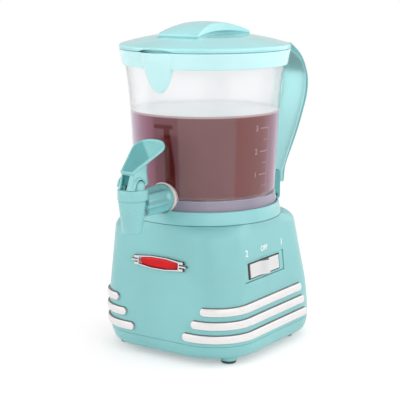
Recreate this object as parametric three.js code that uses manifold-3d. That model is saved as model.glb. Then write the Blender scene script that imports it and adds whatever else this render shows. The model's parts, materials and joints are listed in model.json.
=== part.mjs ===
// Hot chocolate dispenser: a heated, frothing jug with a tap, standing on a motor base.
// Millimetres, +Z up. The tap and the badge face -Y, the rocker switch is on the +X face.
// The jug's axis is the Z axis until the last lines, which centre the whole machine.

import * as THREE from 'three';
import { mergeVertices } from 'three/addons/utils/BufferGeometryUtils.js';
import Module from 'manifold-3d';

const wasm = await Module();
wasm.setup();

// Clearances and cutting allowances
const seatGap = 0.3;
const runningGap = 0.5;
const overrun = 4;

// Base housing: a rounded square that tapers upwards and rounds over into a circle
const footHeight = 7;
const seamHeight = 18.5;
const shoulderHeight = 111;
const housingTop = 121.5;
const sideReach = 74;
const sideReachTop = 65.1;
const frontReach = 72.9;
const frontReachTop = 68.8;
const backReach = 92.3;
const backReachTop = 72.3;
const cornerRadius = 31;
const cornerGrowth = 11;
const cornerBlendHeight = 55;
const tuckHeight = 24;
const tuckDepth = 5;
const seatRadius = 69.2;
const housingWall = 3;
const driveHoleRadius = 24;

// Tray that closes the housing from below
const trayFloor = 3;
const trayLipHeight = 4;
const trayLipWall = 2.4;
const ventWidth = 3;
const ventLength = 38;
const ventPitch = 8;
const ventCount = 4;

// Feet and the screws that hold the tray
const footX = 55.5;
const footFront = 44.5;
const footBack = 52;
const footRadius = 7.3;
const padRadius = 6.6;
const padHeight = 2.4;
const padStudRadius = 2.6;
const padStudHeight = 4;
const pillarX = 42;
const pillarY = 50;
const pillarRadius = 4.2;
const screwRadius = 1.6;
const screwHeadRadius = 3.4;
const screwHeadHeight = 2.2;
const screwLength = 15;

// Trim strips, three on each front corner
const stripHeight = 8;
const stripProud = 2.2;
const lowStripHeight = 25.9;
const stripPitch = 12.2;
const stripCount = 3;
const lowStripFrontEnd = 26;
const stripFrontStep = 8.7;
const lowStripSideEnd = 59;
const stripSideStep = 3.5;

// Badge on the front face
const badgeHeight = 87;
const badgeHalfLength = 29.5;
const badgeHalfHeight = 5.9;
const badgeProud = 2.4;
const badgeRim = 1.5;
const badgeBodyHalfLength = 22.5;
const badgeFinHeight = 1.9;
const badgeInsertProud = 1.5;

// Rocker switch on the right face
const switchHeight = 80.5;
const switchY = -6.2;
const frameLength = 65;
const frameHeight = 18;
const frameSink = 0.9;
const framePlate = 2.2;
const frameFlange = 3;
const rockerLength = 48.4;
const rockerHeight = 13;
const rockerWindowLength = 52.2;
const rockerWindowHeight = 14.2;
const rockerPivotDepth = 9;
const rockerWingDepth = 1.4;
const rockerCrown = 1;
const rockerRibWidth = 6;
const rockerRibProud = 3.4;
const rockerPinRadius = 1.5;
const rockerPinLength = 1.8;
const rockerRound = 2.6;
const switchBodyLength = 30;
const switchBodyDepth = 15;
const switchEarWall = 1.8;
const switchEarWidth = 8;

// Motor and drive
const motorRadius = 20;
const motorLength = 42;
const motorTop = 104;
const motorBossRadius = 7;
const motorBossHeight = 2;
const bracketThickness = 2.4;
const bracketHalfWidth = 22;
const bracketPostX = 31;
const bracketPostRadius = 4.5;
const bracketBoreRadius = 9;
const bracketScrewLength = 9;
const motorShaftRadius = 2.5;
const motorShaftLength = 64;
const dogRadius = 10.5;
const dogBody = 4.6;
const lugHeight = 2.9;
const lugInnerRadius = 4.5;
const lugAngleDegrees = 38;
const lugCount = 3;

// Seat collar in which the jug stands
const collarTop = 133.2;
const collarTopRadius = 66.9;
const collarBottomRadius = 69;
const collarEdge = 0.6;
const recessRadius = 65.1;
const recessFloor = 128;
const seatFloorThickness = 3;
const seatLedge = 9;
const seatHoleRadius = 20;

// Supply contact between base and jug
const contactY = 38;
const contactLength = 26;
const contactWidth = 12;
const contactHeight = 2.4;
const contactWall = 2;
const plugDepth = 3;

// Cord gland on the rear face
const glandHeight = 30;
const glandFlangeRadius = 8;
const glandFlangeThickness = 2;
const glandBodyRadius = 5;
const glandBoreRadius = 3.3;
const glandLength = 9;

// Jug: a clear moulding that flares towards the rim
const jugFootRadius = 64.5;
const jugFootHeight = 7;
const jugBottomRadius = 63.1;
const jugBottomHeight = 15.5;
const jugLineRadius = 66.8;
const jugLineHeight = 87;
const rimOverhang = 3.8;
const jugTopHeight = 134;
const jugWall = 2.2;
const jugFootRing = 3.4;
const jugFloorHeight = 7.1;
const jugFloorThickness = 2.2;
const jugFloorHoleRadius = 43;

// Heater plate, seal, element, bush and cover under the jug
const plateRadius = 49;
const plateThickness = 1.5;
const plateSkirt = 2.2;
const plateSkirtHeight = 3.2;
const sealThickness = 0.8;
const sealWidth = 4.5;
const elementRadius = 30;
const elementTube = 2.1;
const bushRadius = 5;
const bushFlangeRadius = 8;
const bushFlangeThickness = 1.6;
const bushBelow = 1.6;
const bushAbove = 5;
const capThickness = 1.5;
const capRise = 1.2;
const capHoleRadius = 17;
const thermostatRadius = 7;
const thermostatHeight = 3.4;
const thermostatY = -19;

// Whisk
const whiskShaftRadius = 2;
const whiskShaftLength = 36;
const whiskRadius = 16;
const whiskWire = 1.4;
const whiskHubRadius = 4.2;
const whiskHubHeight = 7;
const whiskBladeHeight = 4;
const whiskBladeThickness = 1.4;
const whiskBladeCount = 4;
const whiskHeight = 30;

// Pouring collar with its spout
const rimBottom = 127.2;
const rimTop = 141;
const rimRadius = 76.2;
const rimFlare = 2.6;
const rimWall = 1;
const rimLedge = 3.2;
const rimLedgeThickness = 1.6;
const rimLip = 1.4;
const spoutTipHeight = 106;
const spoutHalfWidth = 18.5;
const spoutReach = 6.2;
const spoutWall = 1.5;
const spoutRootShare = 0.84;

// Lid with its grip
const lidEdgeHeight = 4;
const lidThickness = 2;
const lidEdgeRound = 1;
const lidConeRise = 6.6;
const lidShelf = 30.7;
const domeRise = 12.6;
const domeEdgeRise = 3.4;
const gripWaist = 17;
const gripFlare = 5;
const lidSkirtInset = 4.8;
const lidSkirtDepth = 5;
const lidSkirtWall = 2;
const lidBead = 0.9;
const lidSealThickness = 1.6;
const lidSealWidth = 1;

// Handle, turned a little from the point opposite the tap
const handleTurnDegrees = 22;
const handleWidth = 35;
const handleTopOut = 7.3;
const handleTopHeight = 143.6;
const handleRoom = 27.8;
const handleWideHeight = 109;
const gripEndThickness = 4;
const handleEndHeight = 15.6;
const gripThickness = 4.4;
const gripTopThickness = 8;
const legClearance = 8.4;
const legThickness = 3.4;
const legBottomHeight = 0.4;
const legTopHeight = 27;
const lugWidth = 16;
const lugDepth = 5;
const lugRise = 3.6;
const handleScrewHeight = 20;
const handleScrewSink = 1.2;
const handleScrewLength = 5;
const upperGripShares = [[0, 0], [0.4, 0.2], [0.67, 0.4], [0.89, 0.69], [1, 1]];
const lowerGripShares = [[0.96, 0.15], [0.81, 0.3], [0.58, 0.49], [0.36, 0.64], [0.13, 0.79], [0.04, 0.88]];

// Tap on the front of the jug
const tapHeight = 15.6;
const tapBossRadius = 13;
const tapInnerFlat = 59.5;
const gasketRadius = 12.9;
const gasketThickness = 1.5;
const nutRadius = 12.7;
const nutRimLength = 2.4;
const nutFluteCount = 10;
const nutFluteDepth = 1.2;
const nutRidgeShare = 0.38;
const tapReach = 107;
const spoutForward = 1.2;
const spigotRadius = 5.4;
const spigotBoreRadius = 3.4;
const spigotInside = 9;
const tapBandRadius = 13.1;
const tapBandHeight = 9.2;
const tapBandTop = 14.4;
const tapTubeRadius = 11.8;
const tapOutletRadius = 8.4;
const tapOutletDepth = 22.8;
const tapWall = 2;
const tapChamberRadius = 7.2;
const valveSeatDepth = 5;
const valveSeatThickness = 2;
const valveSeatRadius = 4.4;
const springLedgeDepth = 19;
const innerNutRadius = 8.4;
const innerNutThickness = 3.4;

// Valve inside the tap
const stemRadius = 1.8;
const stemHeadRadius = 3;
const stemHeadHeight = 1.4;
const valveSealRadius = 6.2;
const valveSealThickness = 2.4;
const springRadius = 4.6;
const springWire = 0.9;
const springTurns = 4;
const springSectionSides = 4;

// Bonnet that closes the tap and carries the lever
const bonnetRadius = 8.6;
const bonnetThickness = 2.4;
const bonnetBoreRadius = 2.2;
const pivotForward = 1.6;
const pivotHeight = 2.2;
const trunnionRadius = 5.4;
const trunnionReach = 9;
const trunnionWall = 1.9;
const trunnionInner = 3.3;
const trunnionDome = 2.4;

// Lever: a hood over the bonnet with a dished paddle above it
const hoodRadius = 14;
const hoodHalfWidth = 8.9;
const hoodHalfTop = 7.2;
const hoodFrontLow = 9.6;
const hoodFrontTop = 4.9;
const hoodHeight = 12;
const hoodBack = 13.2;
const hoodWall = 1.9;
const hoodWindowTop = 3.8;
const hoodWindowLow = 3.1;
const leverTravelDegrees = 16;
const paddleLength = 45.5;
const paddleRiseDegrees = 30;
const paddleHalfWidthLow = 6.3;
const paddleHalfWidth = 16.4;
const paddleThickness = 3;
const paddleDish = 1.3;
const paddleRim = 1.8;
const paddleOverhang = 1.2;
const camBack = 3.5;
const camHeight = 4.2;
const camRadius = 1.8;
const camGap = 0.3;

// Strainer tube that stands on the tap's inlet inside the jug
const strainerHeight = 61;
const strainerRadius = 4;
const strainerTopRadius = 2.7;
const strainerWall = 1.2;
const strainerBarLeft = 14;
const strainerBarRight = 6;
const strainerBarRadius = 1.8;
const strainerSleeve = 5;
const strainerSleeveWall = 1.6;

// How finely round things are drawn
const bigRound = 30;
const midRound = 16;
const smallRound = 12;
const hiddenRound = 8;
const screwRound = 6;
const arcSteps = 4;
const faceSteps = 2;
const taperHeights = [seamHeight + seatGap, tuckHeight, 31, 39, 47, cornerBlendHeight];

const radians = THREE.MathUtils.degToRad;
const mix = THREE.MathUtils.lerp;

// Derived sizes
const jugBase = recessFloor + seatGap;
const tapAxisHeight = jugBase + tapHeight;
const jugTopRadius = rimRadius - rimOverhang;
const rimBottomRadius = rimRadius - rimFlare;
const domeRadius = rimRadius - lidShelf;
const lidSkirtRadius = rimRadius - lidSkirtInset;
const handleTopReach = rimRadius + handleTopOut;
const handleWideReach = rimRadius + handleRoom;
const legReach = jugFootRadius + legClearance;
const handleEndReach = legReach + seatGap + gripEndThickness;
const pivotY = -(tapReach + pivotForward);
const bandTop = tapAxisHeight + tapBandTop;
const bonnetTop = bandTop;
const pivotZ = bandTop + pivotHeight;
const gasketFace = -(jugRadiusAt(tapHeight) + seatGap);
const nutNear = gasketFace - gasketThickness - seatGap;
const rimTopHeight = jugBase + rimTop;
const lidBottom = rimTopHeight + seatGap;
const bracketTop = motorTop + seatGap + bracketThickness;

// Three unit directions
const xAxis = new THREE.Vector3(1, 0, 0);
const yAxis = new THREE.Vector3(0, 1, 0);
const zAxis = new THREE.Vector3(0, 0, 1);
const extrudeAlong = {
  x: new THREE.Matrix4().makeBasis(yAxis, zAxis, xAxis),
  y: new THREE.Matrix4().makeBasis(xAxis, zAxis, yAxis.clone().negate()),
  z: new THREE.Matrix4(),
};

// Turns a closed geometry into a solid that can be cut and joined
function solid(geometry) {
  const bare = new THREE.BufferGeometry();
  bare.setAttribute('position', geometry.getAttribute('position').clone());
  if (geometry.index) bare.setIndex(geometry.index.clone());
  const merged = mergeVertices(bare);
  const position = merged.getAttribute('position');
  const corners = [];
  let volume = 0;
  const [a, b, c] = [new THREE.Vector3(), new THREE.Vector3(), new THREE.Vector3()];
  for (let i = 0; i < merged.index.count; i += 3) {
    const [p, q, r] = [0, 1, 2].map((k) => merged.index.getX(i + k));
    if (p === q || q === r || r === p) continue;
    corners.push(p, q, r);
    a.fromBufferAttribute(position, p);
    b.fromBufferAttribute(position, q);
    c.fromBufferAttribute(position, r);
    volume += a.dot(b.cross(c));
  }
  if (volume < 0) corners.reverse();
  const mesh = new wasm.Mesh({
    numProp: 3,
    vertProperties: new Float32Array(position.array),
    triVerts: new Uint32Array(corners),
  });
  mesh.merge();
  return new wasm.Manifold(mesh);
}

// Turns a solid back into a geometry
function shaped(body) {
  const mesh = body.getMesh();
  const geometry = new THREE.BufferGeometry();
  geometry.setAttribute('position', new THREE.BufferAttribute(mesh.vertProperties, 3));
  geometry.setIndex(new THREE.BufferAttribute(mesh.triVerts, 1));
  return geometry;
}

// Revolves a profile of [radius, height] points about the Z axis
function turned(profile, segments = midRound) {
  const points = profile.map(([radius, height]) => new THREE.Vector2(radius, height));
  return solid(new THREE.LatheGeometry(points, segments).rotateX(Math.PI / 2));
}

// Revolves a closed ring profile, which ends where it starts
function turnedRing(profile, segments = midRound) {
  return turned([...profile, profile[0]], segments);
}

// Extrudes a shape along one axis: shapes lie in YZ for x, in XZ for y and in XY for z
function slab(shape, axis, from, to, curveSegments = arcSteps) {
  const depth = to - from;
  const geometry = new THREE.ExtrudeGeometry(shape, { depth, bevelEnabled: false, curveSegments });
  geometry.translate(0, 0, axis === 'y' ? -to : from);
  return solid(geometry.applyMatrix4(extrudeAlong[axis]));
}

function disc(radius, a = 0, b = 0) {
  return new THREE.Shape().absarc(a, b, radius, 0, 2 * Math.PI);
}

function rod(radius, axis, from, to, a = 0, b = 0, segments = smallRound) {
  return slab(disc(radius, a, b), axis, from, to, segments / 2);
}

function polygon(points) {
  return new THREE.Shape(points.map(([a, b]) => new THREE.Vector2(a, b)));
}

function block(low, high) {
  const shape = polygon([[low[0], low[1]], [high[0], low[1]], [high[0], high[1]], [low[0], high[1]]]);
  return slab(shape, 'z', low[2], high[2]);
}

function rectangle(length, height) {
  const [a, b] = [length / 2, height / 2];
  return polygon([[-a, -b], [a, -b], [a, b], [-a, b]]);
}

// Joins rings of as many points each, bottom ring first, and closes both ends
function loft(rings) {
  const count = rings[0].length;
  const points = rings.flat();
  const ends = [rings[0], rings[rings.length - 1]];
  ends.forEach((ring) => {
    const middle = ring.reduce((sum, p) => sum.add(p), new THREE.Vector3());
    points.push(middle.divideScalar(count));
  });
  const index = [];
  for (let i = 0; i < rings.length - 1; i += 1) {
    for (let j = 0; j < count; j += 1) {
      const k = (j + 1) % count;
      const [a, b] = [i * count + j, i * count + k];
      index.push(a, b, b + count, a, b + count, a + count);
    }
  }
  const last = (rings.length - 1) * count;
  for (let j = 0; j < count; j += 1) {
    const k = (j + 1) % count;
    index.push(k, j, points.length - 2, last + j, last + k, points.length - 1);
  }
  const geometry = new THREE.BufferGeometry().setFromPoints(points);
  geometry.setIndex(index);
  return solid(geometry);
}

function union(...bodies) {
  return bodies.reduce((sum, body) => sum.add(body));
}

function cut(body, ...tools) {
  return tools.reduce((rest, tool) => rest.subtract(tool), body);
}

function placed(body, matrix) {
  return solid(shaped(body).applyMatrix4(matrix));
}

function moved(body, x, y, z) {
  return placed(body, new THREE.Matrix4().makeTranslation(x, y, z));
}

function spun(body, degrees) {
  return placed(body, new THREE.Matrix4().makeRotationZ(radians(degrees)));
}

function mirroredX(body) {
  return placed(body, new THREE.Matrix4().makeScale(-1, 1, 1));
}

// Reach of a face of the housing at a height, from its values at the seam and the shoulder
function reachAt(low, high, z) {
  return THREE.MathUtils.mapLinear(z, seamHeight, shoulderHeight, low, high);
}

// Radius of the housing's corners, which grows towards its foot
function cornerAt(z) {
  const share = Math.max(0, cornerBlendHeight - z) / (cornerBlendHeight - seamHeight);
  return cornerRadius + cornerGrowth * share ** 1.5;
}

// How far the wall is drawn in towards its lower edge
function tuckAt(z) {
  const share = Math.min(Math.max(0, tuckHeight - z) / (tuckHeight - footHeight), 1);
  return tuckDepth * (1 - Math.sqrt(1 - share * share));
}

// Rings of the tapering wall between two heights
function wallRings(low, high, inset) {
  return [low, ...taperHeights.filter((z) => z > low && z < high), high].map((z) => baseRing(z, inset));
}

// One ring round the housing: a rounded square, drawn in by inset, then blended to a circle
function baseRing(z, inset = 0, round = 0, circle = seatRadius) {
  const drawn = inset + tuckAt(z);
  const side = reachAt(sideReach, sideReachTop, z) - drawn;
  const front = reachAt(frontReach, frontReachTop, z) - drawn;
  const back = reachAt(backReach, backReachTop, z) - drawn;
  const corner = cornerAt(z) - drawn;
  const centres = [[side, -front], [side, back], [-side, back], [-side, -front]];
  const outline = [];
  centres.forEach(([x, y], quarter) => {
    const centre = new THREE.Vector3(x - Math.sign(x) * corner, y - Math.sign(y) * corner, z);
    for (let i = 0; i <= arcSteps; i += 1) {
      const angle = (quarter - 1 + i / arcSteps) * (Math.PI / 2);
      const spoke = new THREE.Vector3(Math.cos(angle), Math.sin(angle), 0);
      outline.push(spoke.multiplyScalar(corner).add(centre));
    }
  });
  const ring = [];
  outline.forEach((point, i) => {
    ring.push(point);
    if (i % (arcSteps + 1) !== arcSteps) return;
    const next = outline[(i + 1) % outline.length];
    for (let k = 1; k < faceSteps; k += 1) ring.push(point.clone().lerp(next, k / faceSteps));
  });
  return ring.map((point) => {
    const flat = new THREE.Vector2(point.x, point.y);
    const target = flat.clone().setLength(circle);
    flat.lerp(target, round);
    return new THREE.Vector3(flat.x, flat.y, z);
  });
}

// Rings of the shoulder, where the tapering square turns into the seat circle
const outerRiseShares = [0, 0.3, 0.55, 0.75, 0.9, 1];
const innerRiseShares = [0, 0.6, 0.9, 1];
function shoulderRings(inset, top, circle, riseShares) {
  return riseShares.map((share) => {
    const round = 1 - Math.sqrt(1 - share * share);
    return baseRing(mix(shoulderHeight, top, share), inset, round, circle);
  });
}

// Frames that lie on the tapering faces: X to the viewer's right, Y up the face, Z outwards
function faceFrame(low, high, axis, along, z) {
  const slope = Math.atan2(low - high, shoulderHeight - seamHeight);
  const reach = reachAt(low, high, z);
  const outward = axis.clone().multiplyScalar(Math.cos(slope)).addScaledVector(zAxis, Math.sin(slope));
  const right = zAxis.clone().cross(axis).normalize();
  const up = outward.clone().cross(right);
  const frame = new THREE.Matrix4().makeBasis(right, up, outward);
  const point = axis.clone().multiplyScalar(reach).addScaledVector(right, along);
  return frame.setPosition(point.x, point.y, z);
}

const frontFrame = faceFrame(frontReach, frontReachTop, yAxis.clone().negate(), 0, badgeHeight);
const switchFrame = faceFrame(sideReach, sideReachTop, xAxis, switchY, switchHeight);
const rearFrame = faceFrame(backReach, backReachTop, yAxis, 0, glandHeight);

// Four places, mirrored in X and Y
function fourPlaces(x, y) {
  return [[-x, -y], [x, -y], [x, y], [-x, y]];
}

const footPlaces = [[-footX, -footFront], [footX, -footFront], [footX, footBack], [-footX, footBack]];

function baseHousing() {
  const bottom = seamHeight + seatGap;
  const outer = loft([
    ...wallRings(bottom, cornerBlendHeight, 0),
    ...shoulderRings(0, housingTop, seatRadius, outerRiseShares),
  ]);
  const ceiling = housingTop - housingWall;
  const inner = loft([
    ...[bottom - overrun, mix(seamHeight, cornerBlendHeight, 1 / 2), cornerBlendHeight].map((z) => (
      baseRing(z, housingWall))),
    ...shoulderRings(housingWall, ceiling, seatRadius - housingWall, innerRiseShares),
  ]);
  const pillarFoot = seamHeight + seatGap;
  const pillars = fourPlaces(pillarX, pillarY).map(([x, y]) => cut(
    rod(pillarRadius, 'z', pillarFoot, ceiling + seatGap, x, y, hiddenRound),
    rod(screwRadius + seatGap, 'z', pillarFoot - overrun, pillarFoot + screwLength, x, y, screwRound),
  ));
  const posts = [-bracketPostX, bracketPostX].map((x) => cut(
    rod(bracketPostRadius, 'z', bracketTop + seatGap, ceiling + seatGap, x, 0, hiddenRound),
    rod(screwRadius + seatGap, 'z', bracketTop, bracketTop + bracketScrewLength, x, 0, screwRound),
  ));
  const frameHole = slab(rectangle(frameLength + 2 * seatGap, frameHeight + 2 * seatGap), 'z', -overrun, overrun);
  const glandHole = rod(glandBodyRadius + seatGap, 'z', -2 * overrun, overrun);
  return cut(
    union(cut(outer, inner), ...pillars, ...posts),
    rod(driveHoleRadius, 'z', ceiling - overrun, housingTop + overrun, 0, 0, midRound),
    placed(frameHole, switchFrame),
    placed(glandHole, rearFrame),
    contactBlock(ceiling - overrun, housingTop + overrun, runningGap),
  );
}

// The supply contact's outline, between two heights and grown by a margin
function contactBlock(low, high, margin) {
  const [a, b] = [contactLength / 2 + margin, contactWidth / 2 + margin];
  return block([-a, contactY - b, low], [a, contactY + b, high]);
}

function bottomTray() {
  const edgeShares = [0, 0.05, 0.18, 0.45, 1];
  const outer = loft(edgeShares.map((share) => baseRing(mix(footHeight, seamHeight, share))));
  const floorTop = footHeight + trayFloor;
  const hollow = loft([
    baseRing(floorTop, housingWall + trayLipWall),
    baseRing(seamHeight + overrun + trayLipHeight, housingWall + trayLipWall),
  ]);
  const lipInset = housingWall + 2 * runningGap;
  const lip = loft([baseRing(seamHeight - seatGap, lipInset), baseRing(seamHeight + trayLipHeight, lipInset)]);
  const pillarFoot = seamHeight;
  const bosses = fourPlaces(pillarX, pillarY).map(([x, y]) => (
    rod(pillarRadius + seatGap, 'z', floorTop - seatGap, pillarFoot, x, y, hiddenRound)));
  const screwHoles = fourPlaces(pillarX, pillarY).flatMap(([x, y]) => [
    rod(screwRadius + seatGap, 'z', 0, seamHeight + overrun, x, y, screwRound),
    rod(screwHeadRadius + seatGap, 'z', 0, footHeight + screwHeadHeight + seatGap, x, y, hiddenRound),
  ]);
  const feet = footPlaces.map(([x, y]) => cut(
    rod(footRadius, 'z', padHeight + seatGap, footHeight + trayFloor, x, y, smallRound),
    rod(padStudRadius + seatGap, 'z', 0, padHeight + padStudHeight + 2 * seatGap, x, y),
  ));
  const studHoles = footPlaces.map(([x, y]) => (
    rod(padStudRadius + seatGap, 'z', 0, padHeight + padStudHeight + 2 * seatGap, x, y)));
  const vents = Array.from({ length: ventCount }, (_, i) => {
    const y = (i - (ventCount - 1) / 2) * ventPitch;
    return block([-ventLength / 2, y - ventWidth / 2, 0], [ventLength / 2, y + ventWidth / 2, floorTop + seatGap]);
  });
  return cut(union(cut(union(outer, lip), hollow), ...bosses, ...feet), ...screwHoles, ...studHoles, ...vents);
}

function footPad(x, y) {
  return union(
    rod(padRadius, 'z', 0, padHeight, x, y),
    rod(padStudRadius, 'z', padHeight - seatGap, padHeight + padStudHeight, x, y),
  );
}

// A pan-head screw along +Z with its head's outer face at the start
function screw(length, x, y, start) {
  return union(
    rod(screwHeadRadius, 'z', start, start + screwHeadHeight, x, y, hiddenRound),
    rod(screwRadius, 'z', start, start + length, x, y, screwRound),
  );
}

// One trim strip: a thin skin outside the housing, cut to a band with round ends
function trimStrip(step, gap = seatGap) {
  const height = lowStripHeight + step * stripPitch;
  const frontEnd = lowStripFrontEnd + step * stripFrontStep;
  const sideEnd = lowStripSideEnd - step * stripSideStep;
  const [low, high] = [seamHeight + seatGap, cornerBlendHeight + overrun];
  const skin = cut(
    loft(wallRings(low, high, -(gap + stripProud))),
    loft(wallRings(low - overrun, high + overrun, -gap)),
  );
  const half = stripHeight / 2;
  const far = 2 * sideReach;
  const split = cornerAt(height) - reachAt(frontReach, frontReachTop, height);
  const frontBand = new THREE.Shape();
  frontBand.absarc(frontEnd + half, height, half, Math.PI / 2, 1.5 * Math.PI, false);
  frontBand.lineTo(far, height - half);
  frontBand.lineTo(far, height + half);
  const sideBand = new THREE.Shape();
  sideBand.absarc(sideEnd - half, height, half, -Math.PI / 2, Math.PI / 2, false);
  sideBand.lineTo(split, height + half);
  sideBand.lineTo(split, height - half);
  const band = union(slab(frontBand, 'y', -far, split), slab(sideBand, 'x', 0, far));
  return skin.intersect(band);
}

// Badge outline: a long hexagon with three fins at each end
function badgeOutline() {
  const [body, tip, half, fin] = [badgeBodyHalfLength, badgeHalfLength, badgeHalfHeight, badgeFinHeight];
  const notch = fin / 3;
  const crownShare = 0.35;
  const shoulderShare = 0.74;
  const finShare = 0.55;
  const finTip = mix(body, tip, finShare);
  const right = [
    [body * crownShare, half],
    [body, half * shoulderShare],
    [finTip, half * shoulderShare],
    [finTip, fin / 2 + notch],
    [body, fin / 2 + notch],
    [body, fin / 2],
    [tip, fin / 2],
  ];
  const lower = right.map(([x, y]) => [x, -y]).reverse();
  const rightSide = [...right, ...lower];
  const leftSide = rightSide.map(([x, y]) => [-x, y]).reverse();
  return polygon([...rightSide, ...leftSide].reverse());
}

// Badge window: the same hexagon without fins, drawn in by the rim
function badgeWindow(margin) {
  const [body, half] = [badgeBodyHalfLength - badgeRim - margin, badgeHalfHeight - badgeRim - margin];
  const crownShare = 0.35;
  const shoulderShare = 0.62;
  const right = [[body * crownShare, half], [body, half * shoulderShare]];
  const lower = right.map(([x, y]) => [x, -y]).reverse();
  const side = [...right, ...lower];
  return polygon([...side, ...side.map(([x, y]) => [-x, y]).reverse()].reverse());
}

function badgeBezel() {
  const plate = slab(badgeOutline(), 'z', seatGap, seatGap + badgeProud);
  return placed(cut(plate, slab(badgeWindow(0), 'z', 0, badgeProud + overrun)), frontFrame);
}

function badgeInsert() {
  return placed(slab(badgeWindow(seatGap), 'z', seatGap, seatGap + badgeInsertProud), frontFrame);
}

function switchBezel() {
  const plate = slab(rectangle(frameLength, frameHeight), 'z', -(frameSink + framePlate), -frameSink);
  const flangeTop = -(housingWall + seatGap);
  const flange = slab(
    rectangle(frameLength - 2 * frameFlange, frameHeight + 2 * frameFlange),
    'z', flangeTop - framePlate, flangeTop,
  );
  const neck = slab(rectangle(frameLength, frameHeight), 'z', flangeTop - seatGap, -frameSink);
  const opening = slab(rectangle(rockerWindowLength, rockerWindowHeight), 'z', flangeTop - overrun, overrun);
  return placed(cut(union(plate, flange, neck), opening), switchFrame);
}

// Rocker seen from above: two wings that slope away from a raised rib
function rockerButton() {
  const half = rockerLength / 2;
  const rib = rockerRibWidth / 2;
  const profile = polygon([
    [-half, -rockerWingDepth - 2 * rockerRound],
    [-half / 2, -rockerPivotDepth],
    [half / 2, -rockerPivotDepth],
    [half, -rockerWingDepth - 2 * rockerRound],
    [half, -rockerWingDepth],
    [rib + rib / 2, rockerCrown],
    [rib, rockerRibProud],
    [-rib, rockerRibProud],
    [-rib - rib / 2, rockerCrown],
    [-half, -rockerWingDepth],
  ].reverse());
  const body = slab(profile, 'y', -rockerHeight / 2, rockerHeight / 2);
  const pinEnd = rockerHeight / 2 + rockerPinLength;
  const barrel = rod(rockerRound, 'y', -rockerHeight / 2, rockerHeight / 2, 0, -rockerPivotDepth);
  const pin = rod(rockerPinRadius, 'y', -pinEnd, pinEnd, 0, -rockerPivotDepth);
  return placed(union(body, barrel, pin), switchFrame);
}

function switchBody() {
  const earInner = rockerHeight / 2 + runningGap;
  const earOuter = earInner + switchEarWall;
  const swing = rockerRound + runningGap;
  const top = -(rockerPivotDepth + swing + rockerWingDepth);
  const box = slab(rectangle(switchBodyLength, 2 * earOuter), 'z', top - switchBodyDepth, top);
  const ears = [[-earOuter, -earInner], [earInner, earOuter]].map(([from, to]) => {
    const ear = new THREE.Shape();
    ear.moveTo(-switchEarWidth / 2, top - seatGap);
    ear.lineTo(switchEarWidth / 2, top - seatGap);
    ear.lineTo(rockerRound, -rockerPivotDepth + rockerRound);
    ear.lineTo(-rockerRound, -rockerPivotDepth + rockerRound);
    return slab(ear, 'y', from, to);
  });
  const pinHole = rod(rockerPinRadius + seatGap, 'y', -earOuter - overrun, earOuter + overrun, 0, -rockerPivotDepth);
  return placed(cut(union(box, ...ears), pinHole), switchFrame);
}

function motorCan() {
  const bottom = motorTop - motorLength;
  const bore = motorShaftRadius + runningGap;
  const round = motorBossHeight;
  return turnedRing([
    [bore, bottom],
    [motorRadius - round, bottom],
    [motorRadius, bottom + round],
    [motorRadius, motorTop],
    [motorBossRadius, motorTop],
    [motorBossRadius, motorTop + motorBossHeight],
    [bore, motorTop + motorBossHeight],
  ], midRound);
}

function motorBracket() {
  const low = motorTop + seatGap;
  const ends = [-bracketPostX, bracketPostX];
  const plate = slab(rectangle(2 * bracketPostX, 2 * bracketHalfWidth), 'z', low, bracketTop);
  const lobes = ends.map((x) => rod(bracketPostRadius + bracketThickness, 'z', low, bracketTop, x, 0));
  const waist = bracketHalfWidth - bracketPostRadius;
  const trims = ends.flatMap((x) => [-1, 1].map((sign) => (
    rod(waist, 'z', low - overrun, bracketTop + overrun, x, sign * (waist + bracketPostRadius + bracketThickness)))));
  const holes = ends.map((x) => (
    rod(screwRadius + seatGap, 'z', low - overrun, bracketTop + overrun, x, 0, screwRound)));
  const bore = rod(bracketBoreRadius, 'z', low - overrun, bracketTop + overrun, 0, 0, midRound);
  return cut(union(cut(plate, ...trims), ...lobes), bore, ...holes);
}

function motorShaft() {
  const top = recessFloor - dogBody / 2;
  return rod(motorShaftRadius, 'z', top - motorShaftLength, top);
}

// Three driving lugs, drawn as parts of a ring
function dogLugs(low, high, turn) {
  const sweep = radians(lugAngleDegrees);
  return Array.from({ length: lugCount }, (_, i) => {
    const start = radians(turn) + (i * 2 * Math.PI) / lugCount - sweep / 2;
    const lug = new THREE.Shape();
    lug.absarc(0, 0, dogRadius, start, start + sweep, false);
    lug.absarc(0, 0, lugInnerRadius, start + sweep, start, true);
    return slab(lug, 'z', low, high, arcSteps / 2);
  });
}

const lowerDogTop = recessFloor + seatGap;
const lugTop = lowerDogTop + lugHeight;

function lowerDog() {
  const bottom = lowerDogTop - dogBody;
  const blindTop = recessFloor - dogBody / 2 + seatGap;
  const body = cut(
    rod(dogRadius, 'z', bottom, lowerDogTop, 0, 0, midRound),
    rod(motorShaftRadius + seatGap, 'z', bottom - overrun, blindTop),
  );
  return union(body, ...dogLugs(lowerDogTop - seatGap, lugTop, 0));
}

function upperDog() {
  const bottom = lugTop + seatGap;
  const lugBottom = lowerDogTop + seatGap;
  const body = cut(
    rod(dogRadius, 'z', bottom, bottom + lugHeight, 0, 0, midRound),
    rod(whiskShaftRadius + seatGap, 'z', bottom + lugHeight / 3, bottom + overrun),
  );
  return union(body, ...dogLugs(lugBottom, bottom + seatGap, 180 / lugCount));
}

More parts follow.
